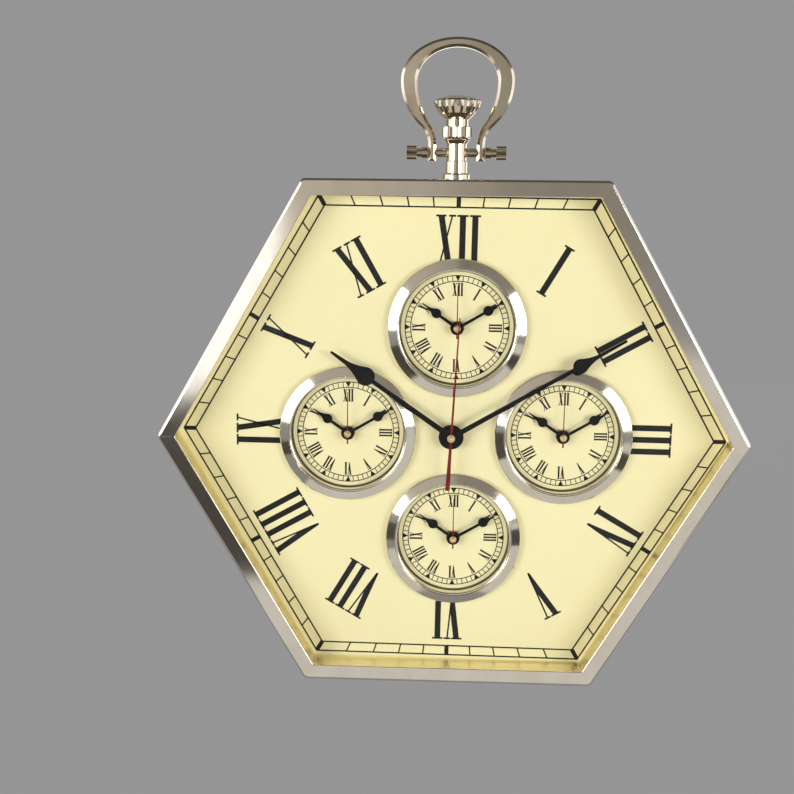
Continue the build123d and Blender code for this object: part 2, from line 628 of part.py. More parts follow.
# Neck: a turned stem with a spigot through the case, a cross bore and a socket for the crown
with BuildPart() as pendant_neck:
    with BuildSketch(PENDANT_FOOT):
        with BuildLine():
            Polyline(
                (0, -SPIGOT_LENGTH),
                (SPIGOT_RADIUS, -SPIGOT_LENGTH),
                (SPIGOT_RADIUS, 0),
                (FLANGE_RADIUS, 0),
                (FLANGE_RADIUS, FLANGE_TOP - FLANGE_ROUND),
            )
            JernArc((FLANGE_RADIUS, FLANGE_TOP - FLANGE_ROUND), (0, 1), FLANGE_ROUND, 90)
            lip_middle = LIP_TOP - LIP_ROUND
            Polyline(
                (FLANGE_RADIUS - FLANGE_ROUND, FLANGE_TOP),
                (SLEEVE_RADIUS, FLANGE_TOP),
                (SLEEVE_RADIUS, SLEEVE_TOP),
                (STEM_RADIUS, SLEEVE_TOP + SLEEVE_RADIUS - STEM_RADIUS),
                (STEM_RADIUS, STEM_TOP),
                (LIP_RADIUS, lip_middle),
            )
            JernArc((LIP_RADIUS, lip_middle), (0, 1), LIP_ROUND, 90)
            Polyline(
                (LIP_RADIUS - LIP_ROUND, LIP_TOP),
                (SPINDLE_RADIUS, LIP_TOP),
                (SPINDLE_RADIUS, COLLAR_TOP),
                (0, COLLAR_TOP),
                (0, -SPIGOT_LENGTH),
            )
        make_face()
    revolve(axis=PENDANT_AXIS)
    with BuildSketch(pendant_level(COLLAR_TOP)):
        Circle(CROWN_STUD_RADIUS + SCREW_GAP)
    extrude(amount=-(CROWN_STUD_LENGTH + SEAT_GAP), mode=Mode.SUBTRACT)
    with BuildSketch(across(0)):
        Circle(PIN_RADIUS + SCREW_GAP)
    extrude(amount=FLANGE_RADIUS, both=True, mode=Mode.SUBTRACT)
keep(pendant_neck.part, "pendant_neck")

# Nut on the spigot, inside the case
with BuildPart() as pendant_nut:
    with BuildSketch(pendant_level(-CASE_SHEET)):
        RegularPolygon(NUT_ACROSS_FLATS / 2, 6, major_radius=False)
        Circle(SPIGOT_RADIUS + SCREW_GAP, mode=Mode.SUBTRACT)
    extrude(amount=-NUT_THICKNESS)
keep(pendant_nut.part, "pendant_nut")

# Ribbed collar round the spindle
with BuildPart() as neck_collar:
    with BuildSketch(pendant_level(LIP_TOP)):
        add(star(COLLAR_RIBS, COLLAR_RADIUS, COLLAR_RIB_DEPTH))
    extrude(amount=COLLAR_TOP - LIP_TOP)
    with BuildSketch(PENDANT_FOOT):
        with BuildLine():
            chamfered = COLLAR_RADIUS - COLLAR_CHAMFER
            Polyline(
                (0, LIP_TOP),
                (chamfered, LIP_TOP),
                (COLLAR_RADIUS, LIP_TOP + COLLAR_CHAMFER),
                (COLLAR_RADIUS, COLLAR_TOP - COLLAR_CHAMFER),
                (chamfered, COLLAR_TOP),
                (0, COLLAR_TOP),
                close=True,
            )
        make_face()
    revolve(axis=PENDANT_AXIS, mode=Mode.INTERSECT)
    with BuildSketch(pendant_level(LIP_TOP)):
        Circle(SPINDLE_RADIUS + SCREW_GAP)
    extrude(amount=COLLAR_TOP - LIP_TOP, mode=Mode.SUBTRACT)
keep(neck_collar.part, "neck_collar")

# Crown: a short neck with a stud below, a fluted bowl, a bevelled edge and a domed top
with BuildPart() as crown:
    for step in range(CROWN_STEPS + 1):
        share = step / CROWN_STEPS
        radius = CROWN_NECK_RADIUS + (CROWN_RADIUS - CROWN_NECK_RADIUS) * sin(radians(90 * share))
        height = CROWN_NECK_TOP + (CROWN_EDGE - CROWN_NECK_TOP) * share
        with BuildSketch(pendant_level(height)):
            add(star(CROWN_FLUTES, radius, CROWN_FLUTE_DEPTH * share))
    with BuildSketch(pendant_level(CROWN_EDGE + CROWN_BEVEL)):
        add(star(CROWN_FLUTES, CROWN_RADIUS - CROWN_BEVEL, CROWN_FLUTE_DEPTH / 2))
    loft(ruled=True)
    with BuildSketch(PENDANT_FOOT):
        with BuildLine():
            dome_edge = (CROWN_RADIUS - CROWN_BEVEL - CROWN_FLUTE_DEPTH, CROWN_EDGE + CROWN_BEVEL)
            Polyline(
                dome_edge,
                (0, CROWN_EDGE + CROWN_BEVEL),
                (0, CROWN_TOP),
            )
            TangentArc((0, CROWN_TOP), dome_edge, tangent=(1, 0))
        make_face()
    revolve(axis=PENDANT_AXIS)
    with BuildSketch(pendant_level(COLLAR_TOP)):
        Circle(CROWN_NECK_RADIUS - CROWN_NECK_STEP)
    extrude(amount=CROWN_NECK_TOP - COLLAR_TOP)
    with BuildSketch(pendant_level(COLLAR_TOP)):
        Circle(CROWN_STUD_RADIUS)
    extrude(amount=-CROWN_STUD_LENGTH)
keep(crown.part, "crown")

# Cross pin: thick through the neck, slim through the bow and its nuts
BOW_LEG_OUTER = BOW_LEG_INNER + BOW_LEG_THICKNESS
PIN_HALF_LENGTH = BOW_LEG_INNER - SEAT_GAP
PIN_END = PIN_HALF_LENGTH + PIN_END_LENGTH
with BuildPart() as bow_pin:
    with BuildSketch(across(0)):
        Circle(PIN_RADIUS)
    extrude(amount=PIN_HALF_LENGTH, both=True)
    with BuildSketch(across(0)):
        Circle(PIN_END_RADIUS)
    extrude(amount=PIN_END, both=True)
keep(bow_pin.part, "bow_pin")

# Knurled nuts on both ends of the pin
KNOB_START = BOW_LEG_OUTER + SEAT_GAP
KNOB_WAIST_START = KNOB_START + KNOB_COLLAR_LENGTH
KNOB_HEAD_START = KNOB_WAIST_START + KNOB_WAIST_LENGTH
with BuildPart() as bow_nuts:
    for side in (-1, 1):
        with BuildSketch(across(side * KNOB_START)):
            Circle(KNOB_COLLAR_RADIUS)
        extrude(amount=side * KNOB_COLLAR_LENGTH)
        with BuildSketch(across(side * KNOB_WAIST_START)):
            Circle(KNOB_WAIST_RADIUS)
        extrude(amount=side * KNOB_WAIST_LENGTH)
        with BuildSketch(across(side * KNOB_HEAD_START)):
            add(star(KNOB_RIBS, KNOB_HEAD_RADIUS, KNOB_RIB_DEPTH))
        extrude(amount=side * KNOB_HEAD_LENGTH)
        with BuildSketch(across(side * KNOB_START)):
            Circle(PIN_END_RADIUS + SCREW_GAP)
        extrude(amount=side * (PIN_END + SEAT_GAP - KNOB_START), mode=Mode.SUBTRACT)
keep(bow_nuts.part, "bow_nuts")


def bow_half(half_width, top, leg):
    """One side of the bow's outline: a leg, a double curve and a quarter of an oval, up to the top.

    Both arcs of the double curve end upright, so they meet on the straight line between their ends.
    """
    bend_x = half_width + (leg - half_width) * BOW_BEND_SHARE
    bend_z = BOW_SIDE_RISE + (BOW_KNEE_RISE - BOW_SIDE_RISE) * BOW_BEND_SHARE
    Line((leg, PIN_RISE - BOW_FOOT), (leg, BOW_KNEE_RISE))
    lower = TangentArc((leg, BOW_KNEE_RISE), (bend_x, bend_z), tangent=(0, 1))
    TangentArc((bend_x, bend_z), (half_width, BOW_SIDE_RISE), tangent=lower % 1)
    EllipticalCenterArc((0, BOW_SIDE_RISE), half_width, top - BOW_SIDE_RISE, arc_size=QUARTER_TURN)


# Bow: a flat bar in the form of an omega, bevelled front and back, bored for the pin
with BuildPart() as bow:
    with BuildSketch(PENDANT_FOOT):
        with BuildLine():
            bow_half(BOW_HALF_WIDTH, BOW_TOP, BOW_LEG_OUTER)
            bow_half(BOW_HALF_WIDTH - BOW_SIDE_THICKNESS, BOW_TOP - BOW_TOP_THICKNESS, BOW_LEG_INNER)
            Line((BOW_LEG_INNER, PIN_RISE - BOW_FOOT), (BOW_LEG_OUTER, PIN_RISE - BOW_FOOT))
            Line((0, BOW_TOP - BOW_TOP_THICKNESS), (0, BOW_TOP))
        make_face()
        mirror(about=Plane.YZ)
    extrude(amount=BOW_DEPTH / 2, both=True)
    faces = bow.faces().filter_by(Axis.Y)
    chamfer(faces.edges(), BOW_BEVEL)
    with BuildSketch(across(0)):
        Circle(PIN_END_RADIUS + RUNNING_GAP)
    extrude(amount=BOW_LEG_OUTER, both=True, mode=Mode.SUBTRACT)
keep(bow.part, "bow")

# Main hands: spade blades with a collet below the boss, and a slim seconds hand with a cap
with BuildPart() as hour_hand:
    with BuildSketch(facing(HOUR_HAND_HEIGHT, turn=HOUR_ANGLE)):
        add(spade(**HOUR_BLADE))
        Circle(HOUR_BOSS_RADIUS)
    extrude(amount=HAND_THICKNESS)
    with BuildSketch(facing(HOUR_HAND_HEIGHT)):
        Circle(COLLET_RADIUS)
    extrude(amount=-COLLET_LENGTH)
    with BuildSketch(facing(HOUR_HAND_HEIGHT - COLLET_LENGTH)):
        Circle(HOUR_TUBE_RADIUS + SCREW_GAP)
    extrude(amount=COLLET_LENGTH + HAND_THICKNESS, mode=Mode.SUBTRACT)
keep(hour_hand.part, "hour_hand")

with BuildPart() as minute_hand:
    with BuildSketch(facing(MINUTE_HAND_HEIGHT, turn=MINUTE_ANGLE)):
        add(spade(**MINUTE_BLADE))
        Circle(MINUTE_BOSS_RADIUS)
    extrude(amount=HAND_THICKNESS)
    with BuildSketch(facing(MINUTE_HAND_HEIGHT)):
        Circle(COLLET_RADIUS)
    extrude(amount=-COLLET_LENGTH)
    with BuildSketch(facing(MINUTE_HAND_HEIGHT - COLLET_LENGTH)):
        Circle(MINUTE_TUBE_RADIUS + SCREW_GAP)
    extrude(amount=COLLET_LENGTH + HAND_THICKNESS, mode=Mode.SUBTRACT)
keep(minute_hand.part, "minute_hand")

with BuildPart() as second_hand:
    with BuildSketch(facing(SECOND_HAND_HEIGHT, turn=SECOND_ANGLE)):
        add(needle(SECOND_LENGTH, SECOND_TAIL, SECOND_ROOT_WIDTH, SECOND_TIP_WIDTH, SECOND_TAIL_WIDTH))
        Circle(CAP_RADIUS)
    extrude(amount=SECOND_THICKNESS)
    with BuildSketch(facing(SECOND_HAND_HEIGHT)):
        Circle(CAP_RADIUS)
    extrude(amount=CAP_RISE)
    with BuildSketch(facing(SECOND_HAND_HEIGHT)):
        Circle(SECOND_PIN_RADIUS + SCREW_GAP)
    extrude(amount=CAP_RISE / 2, mode=Mode.SUBTRACT)
keep(second_hand.part, "second_hand")

# Main movement, base: a box open at the back, with the bush, the posts of the train and the battery bay
MAIN_FRONT = DIAL_BACK
TRAIN_LEFT = THIRD_CENTRE[0] - THIRD_DISTANCE
TRAIN_RIGHT = SET_CENTRE[0] + SET_SHAFT_RADIUS + TRAIN_PLATE_MARGIN
TRAIN_BOTTOM = WORKS_BOTTOM + SEAT_GAP
TRAIN_TOP = ROTOR_CENTRE[1] + ROTOR_MAGNET_RADIUS
TRAIN_POSTS = [
    (x, z)
    for x in (TRAIN_LEFT + TRAIN_POST_RADIUS, TRAIN_RIGHT - TRAIN_POST_RADIUS)
    for z in (TRAIN_BOTTOM + TRAIN_POST_RADIUS, TRAIN_TOP - TRAIN_POST_RADIUS)
]
CIRCUIT_CENTRE = (-WORKS_TOP + SEAT_GAP + CIRCUIT_LENGTH / 2, WORKS_TOP - SEAT_GAP - CIRCUIT_WIDTH / 2)
CIRCUIT_POSTS = [(CIRCUIT_CENTRE[0] + side * CIRCUIT_LENGTH / 4, CIRCUIT_CENTRE[1]) for side in (-1, 1)]


def inside(depth):
    """A plane at a depth behind the main movement's front face, which looks to the front."""
    return facing(MAIN_FRONT - depth)


with BuildPart() as movement_base:
    with BuildSketch(inside(COVER_LAYER)):
        RectangleRounded(MOVEMENT_SIZE, MOVEMENT_SIZE, MOVEMENT_CORNER_RADIUS)
    extrude(amount=COVER_LAYER)
    room = MOVEMENT_SIZE - 2 * MOVEMENT_WALL
    with BuildSketch(inside(COVER_LAYER)):
        with Locations((0, (WORKS_TOP + WORKS_BOTTOM) / 2)):
            Rectangle(room, WORKS_TOP - WORKS_BOTTOM)
        with Locations((0, (BAY_TOP - WORKS_TOP) / 2)):
            Rectangle(room, BAY_TOP + WORKS_TOP)
    extrude(amount=COVER_LAYER - MOVEMENT_WALL, mode=Mode.SUBTRACT)
    with BuildSketch(inside(0)):
        Circle(BUSH_RADIUS)
    extrude(amount=BUSH_LENGTH_MAIN)
    with BuildSketch(inside(PLATE_LAYER)):
        with Locations(*TRAIN_POSTS):
            Circle(TRAIN_POST_RADIUS)
    extrude(amount=PLATE_LAYER - MOVEMENT_WALL)
    with BuildSketch(inside(STATOR_LAYER)):
        with Locations(*CIRCUIT_POSTS):
            Circle(BOARD_POST_RADIUS)
    extrude(amount=STATOR_LAYER - MOVEMENT_WALL)
    with BuildSketch(inside(MOVEMENT_WALL)):
        Circle(HOUR_TUBE_RADIUS + RUNNING_GAP)
    extrude(amount=MOVEMENT_WALL + BUSH_LENGTH_MAIN, mode=Mode.SUBTRACT)
    with BuildSketch(inside(MOVEMENT_WALL)):
        with Locations(MINUTE_WORK):
            Circle(MINUTE_STUD_RADIUS + RUNNING_GAP)
        with Locations(SET_CENTRE):
            Circle(SET_SHAFT_RADIUS + RUNNING_GAP)
    extrude(amount=PIVOT_DEPTH, mode=Mode.SUBTRACT)
keep(movement_base.part, "movement_base")

# Cover over the works, with a bearing for each arbor and a hole for the setting shaft
with BuildPart() as movement_cover:
    with BuildSketch(inside(MOVEMENT_DEPTH)):
        with Locations((0, (MOVEMENT_SIZE / 2 + BAY_TOP) / 2)):
            Rectangle(MOVEMENT_SIZE, MOVEMENT_SIZE / 2 - BAY_TOP)
        with Locations(SET_CENTRE):
            Circle(SET_SHAFT_RADIUS + RUNNING_GAP, mode=Mode.SUBTRACT)
    extrude(amount=MOVEMENT_WALL)
    with BuildSketch(inside(ARBOR_BACK)):
        Circle(SECOND_PIN_RADIUS + RUNNING_GAP)
        with Locations(THIRD_CENTRE, STEP_CENTRE, ROTOR_CENTRE):
            Circle(ARBOR_RADIUS + RUNNING_GAP)
    extrude(amount=PIVOT_DEPTH, mode=Mode.SUBTRACT)
    rear_corners = movement_cover.edges().filter_by(Axis.Y).group_by(Axis.Z)[-1]
    fillet(rear_corners, MOVEMENT_CORNER_RADIUS)
keep(movement_cover.part, "movement_cover")

# Stator pegs stand on the train plate at the lower corners of the stator
STATOR_LEFT = ROTOR_CENTRE[0] - STATOR_REACH
STATOR_RIGHT = ROTOR_CENTRE[0] + STATOR_REACH
STATOR_BOTTOM = ROTOR_CENTRE[1] - ROTOR_MAGNET_RADIUS - STATOR_HOLE_GAP - STATOR_BRIDGE
COIL_CENTRE = (ROTOR_CENTRE[0], WORKS_TOP - SEAT_GAP - COIL_RADIUS)
STATOR_PEGS = [
    (x, STATOR_BOTTOM + STATOR_ARM_WIDTH / 2)
    for x in (STATOR_LEFT + STATOR_ARM_WIDTH / 2, STATOR_RIGHT - STATOR_ARM_WIDTH / 2)
]

# Train plate: the middle bearing plate, on the posts of the base
with BuildPart() as train_plate:
    with BuildSketch(inside(PLATE_LAYER + TRAIN_PLATE_THICKNESS)):
        with Locations(((TRAIN_LEFT + TRAIN_RIGHT) / 2, (TRAIN_BOTTOM + TRAIN_TOP) / 2)):
            Rectangle(TRAIN_RIGHT - TRAIN_LEFT, TRAIN_TOP - TRAIN_BOTTOM)
        Circle(MINUTE_TUBE_RADIUS + RUNNING_GAP, mode=Mode.SUBTRACT)
        with Locations(THIRD_CENTRE, STEP_CENTRE, ROTOR_CENTRE):
            Circle(ARBOR_RADIUS + RUNNING_GAP, mode=Mode.SUBTRACT)
        with Locations(MINUTE_WORK):
            Circle(MINUTE_STUD_RADIUS + RUNNING_GAP, mode=Mode.SUBTRACT)
        with Locations(SET_CENTRE):
            Circle(SET_SHAFT_RADIUS + RUNNING_GAP, mode=Mode.SUBTRACT)
    extrude(amount=TRAIN_PLATE_THICKNESS)
    with BuildSketch(inside(STATOR_LAYER)):
        with Locations(*STATOR_PEGS):
            Circle(STATOR_PEG_RADIUS)
    extrude(amount=STATOR_LAYER - PLATE_LAYER - TRAIN_PLATE_THICKNESS)
keep(train_plate.part, "train_plate")

# Drive coil: a stator frame round the rotor, and a bobbin wound on its upper bar
with BuildPart() as drive_coil:
    with BuildSketch(inside(STATOR_LAYER + STATOR_THICKNESS)):
        with Locations(ROTOR_CENTRE):
            Rectangle(2 * STATOR_REACH, 2 * (ROTOR_CENTRE[1] - STATOR_BOTTOM))
        stator_top = COIL_CENTRE[1] + COIL_CORE_WIDTH / 2
        for x in (STATOR_LEFT + STATOR_ARM_WIDTH / 2, STATOR_RIGHT - STATOR_ARM_WIDTH / 2):
            with Locations((x, (STATOR_BOTTOM + stator_top) / 2)):
                Rectangle(STATOR_ARM_WIDTH, stator_top - STATOR_BOTTOM)
        with Locations(COIL_CENTRE):
            Rectangle(2 * STATOR_REACH, COIL_CORE_WIDTH)
        with Locations(ROTOR_CENTRE):
            Circle(ROTOR_MAGNET_RADIUS + STATOR_HOLE_GAP, mode=Mode.SUBTRACT)
    extrude(amount=STATOR_THICKNESS)
    coil_depth = STATOR_LAYER + STATOR_THICKNESS / 2
    coil_middle = (COIL_CENTRE[0], coil_depth - MAIN_FRONT, CENTRE_Z + COIL_CENTRE[1])
    coil_half_length = STATOR_REACH - STATOR_ARM_WIDTH - SEAT_GAP
    coil_plane = Plane(origin=coil_middle, x_dir=(0, 1, 0), z_dir=(1, 0, 0))
    with BuildSketch(coil_plane):
        Circle(COIL_RADIUS - COIL_FLANGE_THICKNESS)
    extrude(amount=coil_half_length, both=True)
    flange_backs = (coil_half_length, COIL_FLANGE_THICKNESS - coil_half_length)
    with BuildSketch(*[coil_plane.offset(back) for back in flange_backs]):
        Circle(COIL_RADIUS)
    extrude(amount=-COIL_FLANGE_THICKNESS)
keep(drive_coil.part, "drive_coil")

# Circuit board with its crystal
with BuildPart() as circuit_board:
    with BuildSketch(inside(STATOR_LAYER + CIRCUIT_THICKNESS)):
        with Locations(CIRCUIT_CENTRE):
            Rectangle(CIRCUIT_LENGTH, CIRCUIT_WIDTH)
    extrude(amount=CIRCUIT_THICKNESS)
    with BuildSketch(inside(STATOR_LAYER + CIRCUIT_THICKNESS)):
        with Locations(CIRCUIT_CENTRE):
            Rectangle(CRYSTAL_LENGTH, 2 * CRYSTAL_RADIUS)
    extrude(amount=-2 * CRYSTAL_RADIUS)
keep(circuit_board.part, "circuit_board")

# Second arbor: a long pin with the second wheel and its pinion
with BuildPart() as second_arbor:
    with BuildSketch(inside(ARBOR_BACK - RUNNING_GAP)):
        Circle(SECOND_PIN_RADIUS)
    extrude(amount=ARBOR_BACK - RUNNING_GAP + SECOND_HAND_HEIGHT + CAP_RISE / 2 - RUNNING_GAP - MAIN_FRONT)
    with BuildSketch(inside(THIRD_LAYER + WHEEL_THICKNESS)):
        add(gear(SECOND_PINION_TEETH, THIRD_MODULE, THIRD_ANGLE))
    extrude(amount=WHEEL_THICKNESS)
    with BuildSketch(inside(SECOND_LAYER + WHEEL_THICKNESS)):
        add(gear(SECOND_WHEEL_TEETH, STEP_MODULE, STEP_ANGLE))
    extrude(amount=WHEEL_THICKNESS + LAYER_GAP)
keep(second_arbor.part, "second_arbor")

# Minute arbor: a tube with the cannon pinion, in the train plate's bearing
with BuildPart() as minute_arbor:
    tube_back = CENTRE_LAYER + WHEEL_THICKNESS + RUNNING_GAP
    tube_top = MINUTE_HAND_HEIGHT + HAND_THICKNESS + TUBE_STEP
    with BuildSketch(inside(tube_back)):
        Circle(MINUTE_TUBE_RADIUS)
    extrude(amount=tube_back + tube_top - MAIN_FRONT)
    with BuildSketch(inside(MINUTE_LAYER + WHEEL_THICKNESS)):
        add(gear(CANNON_TEETH, MOTION_MODULE, MINUTE_WORK_ANGLE))
    extrude(amount=WHEEL_THICKNESS)
    with BuildSketch(inside(tube_back)):
        Circle(SECOND_PIN_RADIUS + RUNNING_GAP)
    extrude(amount=tube_back + tube_top - MAIN_FRONT, mode=Mode.SUBTRACT)
keep(minute_arbor.part, "minute_arbor")

# Hour wheel on its tube, in the bush
with BuildPart() as hour_wheel:
    tube_top = HOUR_HAND_HEIGHT + HAND_THICKNESS + TUBE_STEP
    with BuildSketch(inside(HOUR_LAYER + WHEEL_THICKNESS)):
        add(gear(HOUR_WHEEL_TEETH, HOUR_MODULE, facing_angle(HOUR_WHEEL_TEETH, MINUTE_WORK_ANGLE + 180)))
    extrude(amount=WHEEL_THICKNESS)
    with BuildSketch(inside(HOUR_LAYER)):
        Circle(HOUR_TUBE_RADIUS)
    extrude(amount=HOUR_LAYER + tube_top - MAIN_FRONT)
    with BuildSketch(inside(HOUR_LAYER + WHEEL_THICKNESS)):
        Circle(MINUTE_TUBE_RADIUS + RUNNING_GAP)
    extrude(amount=HOUR_LAYER + WHEEL_THICKNESS + tube_top - MAIN_FRONT, mode=Mode.SUBTRACT)
keep(hour_wheel.part, "hour_wheel")

# Centre wheel: turns on the minute tube, which it drives through a slipping clutch
with BuildPart() as centre_wheel:
    with BuildSketch(inside(CENTRE_LAYER + WHEEL_THICKNESS)):
        add(gear(CENTRE_WHEEL_TEETH, CENTRE_MODULE, facing_angle(CENTRE_WHEEL_TEETH, THIRD_ANGLE + 180)))
        Circle(MINUTE_TUBE_RADIUS + RUNNING_GAP, mode=Mode.SUBTRACT)
    extrude(amount=WHEEL_THICKNESS)
keep(centre_wheel.part, "centre_wheel")

# Third wheel: between the second pinion and the centre wheel
with BuildPart() as third_wheel:
    with BuildSketch(facing(MAIN_FRONT - ARBOR_BACK + RUNNING_GAP, THIRD_CENTRE)):
        Circle(ARBOR_RADIUS)
    extrude(amount=ARBOR_BACK - ARBOR_FRONT - 2 * RUNNING_GAP)
    with BuildSketch(facing(MAIN_FRONT - CENTRE_LAYER - WHEEL_THICKNESS, THIRD_CENTRE)):
        add(gear(THIRD_PINION_TEETH, CENTRE_MODULE, THIRD_ANGLE + 180))
    extrude(amount=WHEEL_THICKNESS)
    with BuildSketch(facing(MAIN_FRONT - THIRD_LAYER - WHEEL_THICKNESS, THIRD_CENTRE)):
        add(gear(THIRD_WHEEL_TEETH, THIRD_MODULE, facing_angle(THIRD_WHEEL_TEETH, THIRD_ANGLE)))
    extrude(amount=WHEEL_THICKNESS)
keep(third_wheel.part, "third_wheel")

# Step wheel: between the rotor and the second wheel
with BuildPart() as step_wheel:
    with BuildSketch(facing(MAIN_FRONT - ARBOR_BACK + RUNNING_GAP, STEP_CENTRE)):
        Circle(ARBOR_RADIUS)
    extrude(amount=ARBOR_BACK - ARBOR_FRONT - 2 * RUNNING_GAP)
    with BuildSketch(facing(MAIN_FRONT - SECOND_LAYER - WHEEL_THICKNESS, STEP_CENTRE)):
        add(gear(STEP_PINION_TEETH, STEP_MODULE, facing_angle(STEP_PINION_TEETH, STEP_ANGLE)))
    extrude(amount=WHEEL_THICKNESS)
    with BuildSketch(facing(MAIN_FRONT - STEP_LAYER - WHEEL_THICKNESS, STEP_CENTRE)):
        add(gear(STEP_WHEEL_TEETH, ROTOR_MODULE, ROTOR_ANGLE))
    extrude(amount=WHEEL_THICKNESS)
keep(step_wheel.part, "step_wheel")

# Rotor: a round magnet in the stator, with its pinion behind
with BuildPart() as rotor:
    with BuildSketch(facing(MAIN_FRONT - ARBOR_BACK + RUNNING_GAP, ROTOR_CENTRE)):
        Circle(ARBOR_RADIUS)
    extrude(amount=ARBOR_BACK - ARBOR_FRONT - 2 * RUNNING_GAP)
    with BuildSketch(facing(MAIN_FRONT - CENTRE_LAYER, ROTOR_CENTRE)):
        Circle(ROTOR_MAGNET_RADIUS)
    extrude(amount=-ROTOR_MAGNET_LENGTH)
    with BuildSketch(facing(MAIN_FRONT - STEP_LAYER - WHEEL_THICKNESS, ROTOR_CENTRE)):
        add(gear(ROTOR_PINION_TEETH, ROTOR_MODULE, facing_angle(ROTOR_PINION_TEETH, ROTOR_ANGLE)))
    extrude(amount=WHEEL_THICKNESS)
keep(rotor.part, "rotor")

# Minute work wheel: takes the cannon pinion's turn to the hour wheel
with BuildPart() as minute_work_wheel:
    stud_front = MOVEMENT_WALL - PIVOT_DEPTH + RUNNING_GAP
    with BuildSketch(facing(MAIN_FRONT - PLATE_LAYER - TRAIN_PLATE_THICKNESS, MINUTE_WORK)):
        Circle(MINUTE_STUD_RADIUS)
    extrude(amount=PLATE_LAYER + TRAIN_PLATE_THICKNESS - stud_front)
    with BuildSketch(facing(MAIN_FRONT - MINUTE_LAYER - WHEEL_THICKNESS, MINUTE_WORK)):
        add(gear(MINUTE_WHEEL_TEETH, MOTION_MODULE, MINUTE_WHEEL_PHASE))
    extrude(amount=WHEEL_THICKNESS)
    with BuildSketch(facing(MAIN_FRONT - HOUR_LAYER - WHEEL_THICKNESS, MINUTE_WORK)):
        add(gear(MINUTE_PINION_TEETH, HOUR_MODULE, MINUTE_WORK_ANGLE + 180))
    extrude(amount=WHEEL_THICKNESS + LAYER_GAP)
keep(minute_work_wheel.part, "minute_work_wheel")

# Setting knob with its shaft and pinion
with BuildPart() as set_knob:
    knob_front = MOVEMENT_DEPTH + SET_KNOB_STANDOFF
    stud_front = MOVEMENT_WALL - PIVOT_DEPTH + RUNNING_GAP
    with BuildSketch(facing(MAIN_FRONT - knob_front, SET_CENTRE)):
        add(star(SET_KNOB_RIBS, SET_KNOB_RADIUS, SET_KNOB_RIB_DEPTH))
    extrude(amount=-SET_KNOB_LENGTH)
    with BuildSketch(facing(MAIN_FRONT - knob_front, SET_CENTRE)):
        Circle(SET_SHAFT_RADIUS)
    extrude(amount=knob_front - stud_front)
    with BuildSketch(facing(MAIN_FRONT - MINUTE_LAYER - WHEEL_THICKNESS, SET_CENTRE)):
        add(gear(SET_PINION_TEETH, MOTION_MODULE, facing_angle(SET_PINION_TEETH, SET_ANGLE)))
    extrude(amount=WHEEL_THICKNESS)
keep(set_knob.part, "set_knob")

